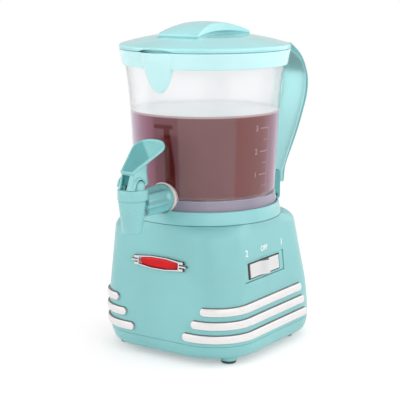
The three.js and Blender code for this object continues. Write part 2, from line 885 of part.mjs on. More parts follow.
function seatCollar() {
  const floorLow = recessFloor - seatFloorThickness;
  const standing = housingTop + seatGap;
  const ledge = collarBottomRadius - seatLedge;
  const ring = turnedRing([
    [seatHoleRadius, floorLow],
    [ledge, floorLow],
    [ledge, standing],
    [collarBottomRadius, standing],
    [collarTopRadius + collarEdge / 2, collarTop - collarEdge],
    [collarTopRadius - collarEdge / 2, collarTop],
    [recessRadius, collarTop],
    [recessRadius, recessFloor],
    [seatHoleRadius, recessFloor],
  ], bigRound);
  const notch = rod(nutRadius + runningGap, 'y', -2 * collarBottomRadius, -ledge, 0, tapAxisHeight, midRound);
  return cut(ring, notch, contactBlock(floorLow - overrun, recessFloor + overrun, seatGap));
}

function baseConnector() {
  const bottom = housingTop - housingWall;
  const top = recessFloor + contactHeight;
  const body = contactBlock(bottom, top, 0);
  const socket = contactBlock(top - plugDepth, top + overrun, -contactWall);
  return cut(body, socket);
}

function cordGland() {
  const start = seatGap;
  return placed(turnedRing([
    [glandBoreRadius, -housingWall - glandFlangeThickness],
    [glandBodyRadius, -housingWall - glandFlangeThickness],
    [glandBodyRadius, start],
    [glandFlangeRadius, start],
    [glandFlangeRadius, start + glandFlangeThickness / 2],
    [glandFlangeRadius - glandFlangeThickness / 2, start + glandFlangeThickness],
    [glandBodyRadius, start + glandFlangeThickness],
    [(glandBodyRadius + glandBoreRadius) / 2, start + glandLength],
    [glandBoreRadius, start + glandLength],
  ], smallRound), rearFrame);
}

// Outer radius of the jug's wall at a height above its foot
function jugRadiusAt(height) {
  if (height <= jugLineHeight) {
    const share = (height - jugBottomHeight) / (jugLineHeight - jugBottomHeight);
    return mix(jugBottomRadius, jugLineRadius, Math.max(share, 0));
  }
  const share = (height - jugLineHeight) / (jugTopHeight - jugLineHeight);
  const straight = mix(jugLineRadius, jugTopRadius, share);
  const bowShare = 0.16;
  return straight - (jugTopRadius - jugLineRadius) * bowShare * 4 * share * (1 - share);
}

// Outside of the jug as a profile, grown by a margin
function jugOutside(margin, top = jugTopHeight) {
  const wallShares = [0.34, 0.68, 1];
  const wall = wallShares.map((share) => {
    const height = mix(jugLineHeight, top, share);
    return [jugRadiusAt(height) + margin, jugBase + height];
  });
  return [
    [jugFootRadius + margin, jugBase],
    [jugFootRadius + margin, jugBase + jugFootHeight],
    [jugRadiusAt(jugBottomHeight) + margin, jugBase + jugBottomHeight],
    [jugLineRadius + margin, jugBase + jugLineHeight],
    ...wall,
  ];
}

// The jug filled solid and grown by a margin, used to cut what lies against it
function jugBlank(margin) {
  const outside = jugOutside(margin);
  const [rim, top] = outside[outside.length - 1];
  return turned([[0, jugBase], ...outside, [rim, top + margin], [0, top + margin]], bigRound);
}

function jugShell() {
  const outside = jugOutside(0);
  const top = outside[outside.length - 1][1];
  const floorLow = jugBase + jugFloorHeight - jugFloorThickness;
  const cavityBottom = jugBase + jugFloorHeight;
  const inside = jugOutside(-jugWall).filter(([, z]) => z > jugBase + jugBottomHeight - jugWall);
  const cavity = turned([
    [0, cavityBottom],
    [jugBottomRadius - jugWall - tapWall, cavityBottom],
    [jugBottomRadius - jugWall, cavityBottom + tapWall],
    ...inside,
    [inside[inside.length - 1][0], top + overrun],
    [0, top + overrun],
  ], bigRound);
  const underside = turned([
    [0, jugBase - overrun],
    [jugFootRadius - jugFootRing, jugBase - overrun],
    [jugFootRadius - jugFootRing, floorLow],
    [0, floorLow],
  ], bigRound);
  const boss = rod(tapBossRadius, 'y', gasketFace, -tapInnerFlat, 0, tapAxisHeight, midRound);
  const hole = rod(spigotRadius + seatGap, 'y', gasketFace - overrun, -tapInnerFlat + overrun, 0, tapAxisHeight);
  const floorHole = rod(jugFloorHoleRadius, 'z', floorLow - overrun, cavityBottom + overrun, 0, 0, bigRound);
  const blank = turned([[0, jugBase], ...outside, [0, top]], bigRound);
  return cut(union(cut(blank, cavity), boss.intersect(blank)), underside, hole, floorHole);
}

const plateLow = jugBase + jugFloorHeight + 2 * seatGap + sealThickness;
const plateHigh = plateLow + plateThickness;

function plateSeal() {
  const low = jugBase + jugFloorHeight + seatGap;
  const inner = jugFloorHoleRadius + seatGap;
  return turnedRing([
    [inner, low],
    [inner + sealWidth, low],
    [inner + sealWidth, low + sealThickness],
    [inner, low + sealThickness],
  ], midRound);
}

function heaterPlate() {
  const skirt = jugFloorHoleRadius - 2 * seatGap;
  const bore = bushRadius + seatGap;
  return turnedRing([
    [bore, plateLow],
    [skirt - plateSkirt, plateLow],
    [skirt - plateSkirt, plateLow - plateSkirtHeight],
    [skirt, plateLow - plateSkirtHeight],
    [skirt, plateLow],
    [plateRadius, plateLow],
    [plateRadius, plateHigh],
    [bore, plateHigh],
  ], midRound);
}

function heaterElement() {
  const ring = new THREE.TorusGeometry(elementRadius, elementTube, smallRound / 2, midRound);
  return moved(solid(ring), 0, 0, plateLow - seatGap - elementTube);
}

function shaftBush() {
  const bore = whiskShaftRadius + runningGap;
  return turnedRing([
    [bore, plateLow - bushBelow],
    [bushRadius, plateLow - bushBelow],
    [bushRadius, plateHigh + seatGap],
    [bushFlangeRadius, plateHigh + seatGap],
    [bushFlangeRadius, plateHigh + seatGap + bushFlangeThickness],
    [bushRadius, plateHigh + seatGap + bushFlangeThickness],
    [bushRadius, plateHigh + bushAbove],
    [bore, plateHigh + bushAbove],
  ], smallRound);
}

function undersideCap() {
  const low = jugBase + capRise;
  const high = low + capThickness;
  const outer = jugFootRadius - jugFootRing - 2 * seatGap;
  const plate = turnedRing([
    [capHoleRadius, low],
    [outer, low],
    [outer, high],
    [capHoleRadius, high],
  ], midRound);
  return cut(plate, contactBlock(low - overrun, high + overrun, seatGap));
}

function jugConnector() {
  const top = jugBase + capRise + capThickness + contactHeight / 2;
  const low = recessFloor + contactHeight + seatGap;
  const tongue = contactBlock(recessFloor + contactHeight - plugDepth + 2 * seatGap, low + seatGap,
    -(contactWall + seatGap));
  return union(contactBlock(low, top, 0), tongue);
}

function thermostat() {
  const top = plateLow - seatGap;
  return rod(thermostatRadius, 'z', top - thermostatHeight, top, 0, thermostatY);
}

function whiskShaft() {
  const low = lugTop + seatGap + lugHeight / 3 + seatGap;
  return rod(whiskShaftRadius, 'z', low, low + whiskShaftLength);
}

function whiskHead() {
  const z = jugBase + whiskHeight;
  const hub = rod(whiskHubRadius, 'z', z - whiskHubHeight / 2, z + whiskHubHeight / 2);
  const wire = moved(solid(new THREE.TorusGeometry(whiskRadius, whiskWire, arcSteps, midRound)), 0, 0, z);
  const blades = Array.from({ length: whiskBladeCount }, (_, i) => spun(block(
    [whiskHubRadius / 2, -whiskBladeThickness / 2, z - whiskBladeHeight / 2],
    [whiskRadius, whiskBladeThickness / 2, z + whiskBladeHeight / 2],
  ), (i * 360) / whiskBladeCount));
  const bore = rod(whiskShaftRadius + seatGap, 'z', z - whiskHubHeight, z + whiskHubHeight);
  return cut(union(hub, wire, ...blades), bore);
}

// Spout: a beak that grows out of the wall, drawn as ellipses that narrow downwards
function spoutBeak(wall) {
  const widthShares = [0.1, 0.3, 0.5, 0.7, 0.88, 1];
  const riseShares = [0, 0.14, 0.3, 0.46, 0.61, 1];
  const count = midRound;
  const root = rimRadius * spoutRootShare;
  const rings = widthShares.map((share, i) => {
    const heightShare = riseShares[i];
    const low = jugBase + spoutTipHeight;
    const z = mix(low, rimTopHeight, heightShare) + (share === 1 ? wall : 0);
    const wallRadius = mix(jugRadiusAt(spoutTipHeight), rimRadius, heightShare);
    const half = spoutHalfWidth * share - wall;
    const reach = wallRadius + spoutReach * share - root - wall;
    return Array.from({ length: count }, (_, k) => {
      const angle = (k / count) * 2 * Math.PI;
      return new THREE.Vector3(Math.max(half, wall / 4) * Math.cos(angle), -root + reach * Math.sin(angle), z);
    });
  });
  return loft(rings);
}

function pouringCollar() {
  const low = jugBase + rimBottom;
  const jugTop = jugBase + jugTopHeight;
  const ledgeLow = jugTop + seatGap;
  const ledgeHigh = ledgeLow + rimLedgeThickness;
  const inner = jugTopRadius + seatGap;
  const ring = turnedRing([
    [inner, low],
    [rimBottomRadius, low],
    [rimRadius, rimTopHeight - rimLip / 2],
    [rimRadius - rimLip / 2, rimTopHeight],
    [rimRadius - rimLip - rimWall / 2, rimTopHeight],
    [inner + rimWall / 2, ledgeHigh],
    [inner - rimLedge, ledgeHigh],
    [inner - rimLedge, ledgeLow],
    [inner, ledgeLow],
  ], bigRound);
  const mouth = turned([
    [0, ledgeHigh],
    [inner + rimWall / 2, ledgeHigh],
    [rimRadius - rimLip - rimWall / 2, rimTopHeight],
    [rimRadius - rimLip - rimWall / 2, rimTopHeight + overrun],
    [0, rimTopHeight + overrun],
  ], bigRound);
  const beakOuter = cut(spoutBeak(0), jugBlank(seatGap), mouth);
  const beakFace = cut(beakOuter, block(
    [-rimRadius, -rimRadius * spoutRootShare, 0],
    [rimRadius, rimRadius, rimTopHeight + overrun],
  ));
  const channel = cut(spoutBeak(spoutWall), block(
    [-rimRadius, -rimRadius, 0],
    [rimRadius, rimRadius, ledgeHigh],
  ));
  const body = cut(union(ring, beakFace), channel);
  return union(body, handleLug(0));
}

// The lug of the collar that holds the handle's upper end
function handleLug(margin) {
  const height = rimTopHeight - lugRise / 2;
  const lug = block(
    [-lugWidth / 2 - margin, rimBottomRadius + rimWall, height - lugRise / 2 - margin],
    [lugWidth / 2 + margin, rimRadius + lugDepth + margin, height + lugRise / 2 + margin],
  );
  return spun(lug, -handleTurnDegrees);
}

// Side view of the grip's outer face: out from the rim, down in a long curve and in to the leg
function gripCurve(inset, insetTop) {
  const top = jugBase + handleTopHeight;
  const wide = jugBase + handleWideHeight;
  const end = jugBase + handleEndHeight;
  const upper = upperGripShares.map(([reach, drop]) => [
    mix(handleTopReach, handleWideReach, reach) - inset * drop,
    mix(top, wide, drop) - insetTop * (1 - drop),
  ]);
  const lower = lowerGripShares.map(([reach, drop]) => [
    mix(handleEndReach, handleWideReach, reach) - inset,
    mix(wide, end, drop),
  ]);
  return [[rimRadius + seatGap, top - insetTop], ...upper, ...lower];
}

function smoothLine(points, steps) {
  return new THREE.SplineCurve(points.map(([y, z]) => new THREE.Vector2(y, z))).getPoints(steps);
}

function handleGrip() {
  const end = jugBase + handleEndHeight;
  const legFace = legReach + seatGap;
  const [root, ...outerBend] = gripCurve(0, 0);
  const [innerRoot, ...innerBend] = gripCurve(gripThickness, gripTopThickness);
  const innerEnd = jugBase + legTopHeight - gripThickness / 2;
  const landing = [legFace, innerEnd];
  const innerPoints = [...innerBend.filter(([y, z]) => y > legFace + gripThickness && z > innerEnd), landing];
  const outline = polygon([
    root,
    ...smoothLine([...outerBend, [handleEndReach, end]], 4 * arcSteps).map((p) => [p.x, p.y]),
    [legFace, end],
    ...smoothLine(innerPoints, 3 * arcSteps).map((p) => [p.x, p.y]).reverse(),
    innerRoot,
  ]);
  const strap = slab(outline, 'x', -handleWidth / 2, handleWidth / 2);
  const screwZ = jugBase + handleScrewHeight;
  const hole = rod(screwRadius + seatGap, 'y', legFace - overrun, handleEndReach + overrun, 0, screwZ);
  const sink = rod(screwHeadRadius + seatGap, 'y', handleEndReach - handleScrewSink,
    handleEndReach + overrun, 0, screwZ);
  const body = cut(spun(cut(strap, hole, sink), -handleTurnDegrees), handleLug(seatGap));
  const collarBlank = rod(rimRadius + seatGap, 'z', jugBase + jugLineHeight, lidBottom + 2 * overrun, 0, 0, bigRound);
  return cut(body, collarBlank);
}

function handleLeg() {
  const low = jugBase + legBottomHeight;
  const high = jugBase + legTopHeight;
  const step = collarTop + 2 * runningGap;
  const inner = legReach - legThickness;
  const lean = 2 * legThickness;
  const profile = polygon([
    [inner, low],
    [legReach, low],
    [legReach, high - lean / 4],
    [inner, high],
    [jugBottomRadius - legThickness, high],
    [jugBottomRadius - legThickness, step],
    [inner, step],
  ]);
  const slabBody = slab(profile, 'x', -handleWidth / 2, handleWidth / 2);
  const hole = rod(screwRadius + seatGap, 'y', jugBottomRadius, legReach + overrun, 0, jugBase + handleScrewHeight);
  return cut(spun(cut(slabBody, hole), -handleTurnDegrees), jugBlank(seatGap));
}

// Screw through the grip into the leg, its head outside
function handleScrew() {
  const face = handleEndReach - handleScrewSink + seatGap;
  const z = jugBase + handleScrewHeight;
  const body = union(
    rod(screwHeadRadius, 'y', face, face + screwHeadHeight / 2, 0, z),
    rod(screwRadius, 'y', face - handleScrewLength - gripThickness / 2, face + seatGap, 0, z, smallRound / 2),
  );
  return spun(body, -handleTurnDegrees);
}

function tapGasket() {
  const face = gasketFace - gasketThickness;
  return cut(
    rod(gasketRadius, 'y', face, gasketFace + overrun, 0, tapAxisHeight, midRound),
    rod(spigotRadius + seatGap, 'y', face - overrun, gasketFace + 2 * overrun, 0, tapAxisHeight),
    jugBlank(seatGap),
  );
}

// Wide-fluted sleeve nut between the tap and the gasket, its front end fitted to the tap's band
function tapNut() {
  const pitch = (2 * Math.PI) / nutFluteCount;
  const half = (pitch * (1 - nutRidgeShare)) / 2;
  const chord = 2 * nutRadius * Math.sin(half);
  const sagitta = nutFluteDepth - nutRadius * (1 - Math.cos(half));
  const flute = (chord * chord) / (8 * sagitta) + sagitta / 2;
  const distance = nutRadius - nutFluteDepth + flute;
  const spread = Math.asin(chord / (2 * flute));
  const outline = new THREE.Shape();
  for (let i = 0; i < nutFluteCount; i += 1) {
    const angle = i * pitch;
    const [x, z] = [distance * Math.cos(angle), tapAxisHeight + distance * Math.sin(angle)];
    outline.absarc(x, z, flute, angle + Math.PI + spread, angle + Math.PI - spread, true);
  }
  const blank = slab(outline, 'y', -tapReach, nutNear, arcSteps / 2);
  const flange = rod(nutRadius, 'y', nutNear - nutRimLength, nutNear, 0, tapAxisHeight, midRound);
  const bore = rod(spigotRadius + seatGap, 'y', -tapReach - overrun, nutNear + overrun, 0, tapAxisHeight);
  const saddle = rod(tapBandRadius + seatGap, 'z', tapAxisHeight - 2 * nutRadius, tapAxisHeight + 2 * nutRadius,
    0, -tapReach, bigRound);
  return cut(union(blank, flange), bore, saddle);
}

const innerNutFar = -(tapInnerFlat - seatGap);
const innerNutNear = innerNutFar + innerNutThickness;

function innerNut() {
  const hexagon = polygon(Array.from({ length: 6 }, (_, i) => {
    const angle = (i * Math.PI) / 3;
    return [innerNutRadius * Math.cos(angle), tapAxisHeight + innerNutRadius * Math.sin(angle)];
  }));
  return cut(
    slab(hexagon, 'y', innerNutFar, innerNutNear),
    rod(spigotRadius + seatGap, 'y', innerNutFar - overrun, innerNutNear + overrun, 0, tapAxisHeight),
  );
}

// The tap's vertical tube about its own axis
function tapTube() {
  const bandLow = bandTop - tapBandHeight;
  const outlet = tapAxisHeight - tapOutletDepth;
  const spout = turned([
    [0, outlet],
    [tapOutletRadius, outlet],
    [tapTubeRadius, bandLow],
    [tapTubeRadius, bandLow + seatGap],
    [0, bandLow + seatGap],
  ], midRound);
  return union(moved(spout, 0, -spoutForward, 0), rod(tapBandRadius, 'z', bandLow, bandTop, 0, 0, midRound));
}

const valveSeatLow = tapAxisHeight - valveSeatDepth - valveSeatThickness;
const springLedge = tapAxisHeight - springLedgeDepth;

function tapCavities() {
  const outlet = tapAxisHeight - tapOutletDepth;
  const lowRadius = valveSealRadius + runningGap;
  const mouth = tapOutletRadius - tapWall;
  const chamber = rod(tapChamberRadius, 'z', valveSeatLow + valveSeatThickness, bandTop + overrun, 0, 0, smallRound);
  const counterboreLow = bonnetTop - bonnetThickness - seatGap;
  const counterbore = rod(bonnetRadius + seatGap, 'z', counterboreLow, bandTop + overrun, 0, 0, midRound);
  const seat = rod(valveSeatRadius, 'z', outlet - overrun, bandTop);
  const below = turned([
    [0, springLedge],
    [mouth, springLedge],
    [lowRadius, valveSeatLow - overrun],
    [lowRadius, valveSeatLow],
    [0, valveSeatLow],
  ], smallRound);
  return union(chamber, counterbore, seat, below);
}

function tapBody() {
  const tube = moved(tapTube(), 0, -tapReach, 0);
  const spigotEnd = -(tapInnerFlat - spigotInside);
  const spigot = rod(spigotRadius, 'y', -tapReach, spigotEnd, 0, tapAxisHeight);
  const bore = rod(spigotBoreRadius, 'y', -tapReach, spigotEnd + overrun, 0, tapAxisHeight);
  return cut(union(tube, spigot), moved(tapCavities(), 0, -tapReach, 0), bore);
}

function valveSeal() {
  const top = valveSeatLow - seatGap;
  return cut(
    rod(valveSealRadius, 'z', top - valveSealThickness, top, 0, -tapReach),
    rod(stemRadius + seatGap, 'z', top - valveSealThickness / 2, top + overrun, 0, -tapReach),
  );
}

const camZ = pivotZ + camHeight - camRadius - camGap;

function valveStem() {
  const low = valveSeatLow - valveSealThickness / 2;
  return union(
    rod(stemRadius, 'z', low, camZ - seatGap, 0, -tapReach, smallRound),
    rod(stemHeadRadius, 'z', camZ - stemHeadHeight, camZ, 0, -tapReach),
  );
}

// Coil spring that holds the valve shut
function valveSpring() {
  const low = springLedge + springWire / 2 + seatGap;
  const high = valveSeatLow - 2 * seatGap - valveSealThickness - springWire / 2;
  const steps = springTurns * 8;
  const route = Array.from({ length: steps + 1 }, (_, i) => {
    const angle = (i / steps) * springTurns * 2 * Math.PI;
    return new THREE.Vector3(
      springRadius * Math.cos(angle),
      -tapReach + springRadius * Math.sin(angle),
      mix(low, high, i / steps),
    );
  });
  const section = polygon(Array.from({ length: springSectionSides }, (_, i) => {
    const angle = (i * 2 * Math.PI) / springSectionSides;
    return [(springWire / 2) * Math.cos(angle), (springWire / 2) * Math.sin(angle)];
  }));
  const extrudePath = new THREE.CatmullRomCurve3(route);
  return solid(new THREE.ExtrudeGeometry(section, { steps, extrudePath }));
}

// Plug in the band's mouth with two domed trunnions for the lever
function tapBonnet() {
  const low = bonnetTop - bonnetThickness;
  const plug = rod(bonnetRadius, 'z', low, bonnetTop, 0, -tapReach, midRound);
  const bore = rod(bonnetBoreRadius, 'z', low - overrun, bonnetTop + overrun, 0, -tapReach);
  const dome = domeCap(trunnionRadius, trunnionDome);
  const onSide = new THREE.Matrix4().makeRotationY(Math.PI / 2).setPosition(trunnionReach - seatGap, pivotY, pivotZ);
  const earTop = pivotZ + trunnionRadius;
  const ear = block(
    [trunnionInner, pivotY - trunnionRadius / 2, low],
    [trunnionInner + trunnionWall, pivotY + trunnionRadius / 2, earTop - trunnionRadius / 2],
  );
  const boss = rod(trunnionRadius, 'x', trunnionInner, trunnionReach, pivotY, pivotZ);
  const bandBlank = cut(
    rod(tapBandRadius + seatGap, 'z', bandTop - 2 * trunnionRadius, bandTop + seatGap, 0, -tapReach, midRound),
    rod(bonnetRadius, 'z', bandTop - 2 * trunnionRadius, bandTop + 2 * seatGap, 0, -tapReach, midRound),
  );
  const right = cut(union(boss, placed(dome, onSide), ear), bandBlank);
  const below = block(
    [0, pivotY - 2 * trunnionRadius, bandTop - 2 * tapBandHeight],
    [bonnetRadius, pivotY + 2 * trunnionRadius, low],
  );
  const trimmed = cut(right, below);
  return cut(union(plug, trimmed, mirroredX(trimmed)), bore);
}

// A shallow dome on the XY plane
function domeCap(radius, rise) {
  const steps = Math.ceil(arcSteps / 2);
  const profile = Array.from({ length: steps + 1 }, (_, i) => {
    const angle = (i / steps) * (Math.PI / 2);
    return [radius * Math.cos(angle), rise * Math.sin(angle)];
  });
  profile[steps] = [0, rise];
  return turned([[0, 0], ...profile], smallRound);
}

// Side view of the hood, measured from the pivot, drawn in by a wall
function hoodOutline(inset) {
  const rise = Math.tan(radians(paddleRiseDegrees));
  const low = seatGap - pivotHeight;
  const relief = Math.tan(radians(leverTravelDegrees));
  const backLow = low + (hoodBack - seatGap) * relief;
  const roof = inset / Math.cos(radians(paddleRiseDegrees));
  return polygon([
    [-hoodFrontLow + inset, low - inset],
    [seatGap, low - inset],
    [hoodBack - inset / 2, backLow - inset],
    [hoodBack - inset / 2, hoodHeight + (hoodBack + hoodFrontTop) * rise - roof],
    [-hoodFrontTop + inset / 2, hoodHeight - roof],
  ]);
}

// Front view of the hood, narrower towards the paddle
function hoodSides(inset) {
  const [wide, narrow] = [hoodHalfWidth - inset, hoodHalfTop - inset];
  const low = -pivotHeight - overrun;
  const top = 3 * hoodHeight;
  return slab(polygon([
    [-wide, low],
    [wide, low],
    [wide, seatGap - pivotHeight],
    [narrow, hoodHeight],
    [narrow, top],
    [-narrow, top],
    [-narrow, hoodHeight],
    [-wide, seatGap - pivotHeight],
  ]), 'y', -2 * hoodRadius, 2 * hoodRadius);
}

// Front window of the hood, wider at the top
function hoodWindow() {
  const low = seatGap - pivotHeight;
  return slab(polygon([
    [-hoodWindowLow, low - overrun],
    [hoodWindowLow, low - overrun],
    [hoodWindowTop, hoodHeight - hoodWall],
    [-hoodWindowTop, hoodHeight - hoodWall],
  ]), 'y', -2 * hoodRadius, 0);
}

// Paddle outline: narrow at the front edge, wide and round at the far end
function paddleOutline(inset) {
  const low = paddleHalfWidthLow - inset;
  const wide = paddleHalfWidth - inset;
  const far = paddleLength - inset;
  const bendShare = 0.74;
  const wideShare = 0.97;
  const turnShare = 0.82;
  const endShare = 0.94;
  const bend = mix(inset, far, bendShare);
  const shape = new THREE.Shape();
  shape.moveTo(-low, inset);
  shape.lineTo(low, inset);
  shape.lineTo(mix(low, wide, wideShare), bend);
  shape.quadraticCurveTo(wide, mix(bend, far, turnShare), wide / 2, mix(bend, far, endShare));
  shape.quadraticCurveTo(0, mix(bend, far, 2 - endShare), -wide / 2, mix(bend, far, endShare));
  shape.quadraticCurveTo(-wide, mix(bend, far, turnShare), -mix(low, wide, wideShare), bend);
  return shape;
}

function tapLever() {
  const blank = slab(hoodOutline(0), 'x', -hoodRadius, hoodRadius).intersect(hoodSides(0));
  const round = rod(hoodRadius, 'z', -2 * hoodRadius, 3 * hoodRadius, 0, (hoodBack - hoodFrontLow) / 2, bigRound);
  const hollow = slab(hoodOutline(hoodWall), 'x', -hoodRadius, hoodRadius).intersect(hoodSides(hoodWall));
  const bite = rod(trunnionRadius + 2 * runningGap, 'x', -2 * hoodRadius, 2 * hoodRadius, 0, 0, midRound);
  const hood = cut(blank.intersect(round), hollow, bite, hoodWindow());
  const rise = radians(paddleRiseDegrees);
  const paddle = cut(
    slab(paddleOutline(0), 'z', 0, paddleThickness),
    slab(paddleOutline(paddleRim), 'z', paddleThickness - paddleDish, paddleThickness + overrun),
  );
  const tilt = new THREE.Matrix4().makeRotationX(rise);
  tilt.setPosition(0, -hoodFrontTop - paddleOverhang, hoodHeight - paddleThickness / 2);
  const cam = union(
    rod(camRadius, 'x', -stemHeadRadius, stemHeadRadius, camBack, camHeight, smallRound),
    block(
      [-stemHeadRadius, camBack - camRadius, camHeight],
      [stemHeadRadius, camBack + camRadius, hoodHeight + (camBack + hoodFrontTop) * Math.tan(rise)],
    ),
  );
  return moved(union(hood, placed(paddle, tilt), cam), 0, pivotY, pivotZ);
}

function strainerTube() {
  const start = innerNutNear + seatGap;
  const y = start + strainerRadius;
  const sleeveRadius = spigotRadius + seatGap + strainerSleeveWall;
  const low = tapAxisHeight + spigotRadius + 2 * seatGap;
  const high = tapAxisHeight + strainerHeight;
  const tube = moved(turned([
    [0, low],
    [strainerRadius, low],
    [strainerTopRadius, high],
    [0, high],
  ], smallRound), 0, y, 0);
  const sleeve = rod(sleeveRadius, 'y', start, start + strainerSleeve, 0, tapAxisHeight, midRound);
  const bar = rod(strainerBarRadius, 'x', -strainerBarLeft, strainerBarRight, y, high);
  const channel = rod(strainerTopRadius - strainerWall, 'z', low - overrun, high + overrun, 0, y, smallRound);
  const socket = rod(spigotRadius + seatGap, 'y', start - overrun, start + strainerSleeve + overrun, 0,
    tapAxisHeight);
  return cut(union(tube, sleeve, bar), channel, socket);
}

// Upper surface of the lid as radius and height above the collar's rim
function lidProfile(drop, domeSteps) {
  const edge = rimRadius - lidEdgeRound;
  const coneTop = lidEdgeHeight + lidConeRise;
  const domeShares = Array.from({ length: domeSteps }, (_, i) => 1 - ((i + 1) / domeSteps) ** 1.3);
  const dome = domeShares.map((share) => [
    (domeRadius - drop) * share,
    coneTop + domeEdgeRise + (domeRise - domeEdgeRise) * (1 - share * share) - drop,
  ]);
  const bendShare = 0.5;
  const bendRiseShare = 0.58;
  const bend = [
    mix(edge, domeRadius, bendShare),
    mix(lidEdgeHeight, coneTop, bendRiseShare) - drop,
  ];
  const rise = [
    [domeRadius + domeEdgeRise / 2 - drop, coneTop - drop],
    [domeRadius - drop, coneTop + domeEdgeRise - drop],
  ];
  if (drop > 0) return [bend, ...rise, ...dome];
  return [
    [rimRadius, 0],
    [rimRadius, lidEdgeHeight - lidEdgeRound],
    [edge, lidEdgeHeight],
    bend,
    ...rise,
    ...dome,
  ];
}

// The two scoops that leave a grip across the dome
function gripScoops(grow, floor) {
  const span = domeRadius;
  const arc = (span * span + gripFlare * gripFlare) / (2 * gripFlare);
  const centre = gripWaist + arc;
  const top = lidEdgeHeight + lidConeRise + domeRise + domeEdgeRise + overrun;
  const side = rod(arc + grow, 'z', floor, top, centre, 0, bigRound).intersect(block(
    [0, -span + domeEdgeRise - grow, floor],
    [span + domeEdgeRise, span - domeEdgeRise + grow, top],
  ));
  return union(side, mirroredX(side));
}

function lid() {
  const coneTop = lidEdgeHeight + lidConeRise;
  const outer = turned([[0, 0], ...lidProfile(0, 5)], bigRound);
  const skirtInner = lidSkirtRadius - lidSkirtWall;
  const inner = turned([
    [0, -overrun - lidSkirtDepth],
    [skirtInner, -overrun - lidSkirtDepth],
    [skirtInner, lidEdgeHeight - lidThickness],
    ...lidProfile(lidThickness, 2),
  ], bigRound);
  const skirt = turnedRing([
    [skirtInner, -lidSkirtDepth],
    [lidSkirtRadius + lidBead, -lidSkirtDepth],
    [lidSkirtRadius + lidBead, -lidSkirtDepth + lidBead],
    [lidSkirtRadius, -lidSkirtDepth + lidBead],
    [lidSkirtRadius, lidThickness / 2],
    [skirtInner, lidThickness / 2],
  ], bigRound);
  const hollow = cut(inner, gripScoops(lidThickness, coneTop - lidThickness));
  const body = cut(union(cut(outer, gripScoops(0, coneTop)), skirt), hollow);
  return moved(body, 0, 0, lidBottom);
}

function lidSeal() {
  const low = lidBottom - lidSkirtDepth + lidBead + seatGap;
  const inner = lidSkirtRadius + seatGap;
  return turnedRing([
    [inner, low],
    [inner + lidSealWidth, low],
    [inner + lidSealWidth, low + lidSealThickness],
    [inner, low + lidSealThickness],
  ], bigRound);
}

// Materials by name: colour, roughness and metalness
const finishes = {
  aqua: [0x95d1d3, 0.4, 0],
  paleAqua: [0xbdf4f4, 0.3, 0],
  clear: [0xe8eef0, 0.1, 0],
  chrome: [0xe6e6e8, 0.2, 1],
  strip: [0xebe8e8, 0.25, 0.6],
  red: [0xc80a1c, 0.25, 0],
  rocker: [0xe9e7e7, 0.45, 0],
  rubber: [0x26282a, 0.9, 0],
  cream: [0xe1d7cd, 0.7, 0],
  steel: [0xb8bcc0, 0.35, 1],
  black: [0x202224, 0.5, 0],
  brass: [0xc8a050, 0.35, 1],
  brown: [0x5a2a22, 0.5, 0],
};

const machine = new THREE.Group();

function add(name, body, finish) {
  const [color, roughness, metalness] = finishes[finish];
  const material = new THREE.MeshStandardMaterial({ color, roughness, metalness });
  const mesh = new THREE.Mesh(shaped(body), material);
  mesh.name = name;
  machine.add(mesh);
}

// Base
add('base_housing', baseHousing(), 'aqua');
add('bottom_tray', bottomTray(), 'aqua');
footPlaces.forEach(([x, y], i) => add(`foot_pad_${i + 1}`, footPad(x, y), 'rubber'));
fourPlaces(pillarX, pillarY).forEach(([x, y], i) => (
  add(`tray_screw_${i + 1}`, screw(screwLength, x, y, footHeight), 'steel')));
for (let step = 0; step < stripCount; step += 1) {
  const strip = trimStrip(step);
  add(`trim_strip_right_${step + 1}`, strip, 'strip');
  add(`trim_strip_left_${step + 1}`, mirroredX(strip), 'strip');
}
add('badge_bezel', badgeBezel(), 'chrome');
add('badge_insert', badgeInsert(), 'red');
add('switch_bezel', switchBezel(), 'aqua');
add('switch_body', switchBody(), 'black');
add('rocker_button', rockerButton(), 'rocker');
add('motor_can', motorCan(), 'steel');
add('motor_bracket', motorBracket(), 'steel');
[-bracketPostX, bracketPostX].forEach((x, i) => {
  const start = motorTop + seatGap - screwHeadHeight - seatGap;
  add(`motor_screw_${i + 1}`, screw(bracketScrewLength, x, 0, start), 'steel');
});
add('motor_shaft', motorShaft(), 'steel');
add('lower_drive_dog', lowerDog(), 'black');
add('seat_collar', seatCollar(), 'paleAqua');
add('base_connector', baseConnector(), 'black');
add('cord_gland', cordGland(), 'black');

// Jug
add('jug_shell', jugShell(), 'clear');
add('plate_seal', plateSeal(), 'cream');
add('heater_plate', heaterPlate(), 'steel');
add('heater_element', heaterElement(), 'steel');
add('thermostat', thermostat(), 'black');
add('shaft_bush', shaftBush(), 'brass');
add('underside_cap', undersideCap(), 'black');
add('jug_connector', jugConnector(), 'black');
add('pouring_collar', pouringCollar(), 'paleAqua');
add('handle_grip', handleGrip(), 'paleAqua');
add('handle_leg', handleLeg(), 'paleAqua');
add('handle_screw', handleScrew(), 'steel');
add('tap_gasket', tapGasket(), 'cream');
add('tap_nut', tapNut(), 'aqua');
add('tap_inner_nut', innerNut(), 'aqua');
add('tap_body', tapBody(), 'aqua');
add('tap_bonnet', tapBonnet(), 'aqua');
add('strainer_tube', strainerTube(), 'brown');

// Moving pieces of the jug
add('upper_drive_dog', upperDog(), 'black');
add('whisk_shaft', whiskShaft(), 'steel');
add('whisk_head', whiskHead(), 'steel');
add('valve_stem', valveStem(), 'steel');
add('valve_seal', valveSeal(), 'rubber');
add('valve_spring', valveSpring(), 'steel');
add('tap_lever', tapLever(), 'aqua');
add('lid', lid(), 'paleAqua');
add('lid_seal', lidSeal(), 'cream');

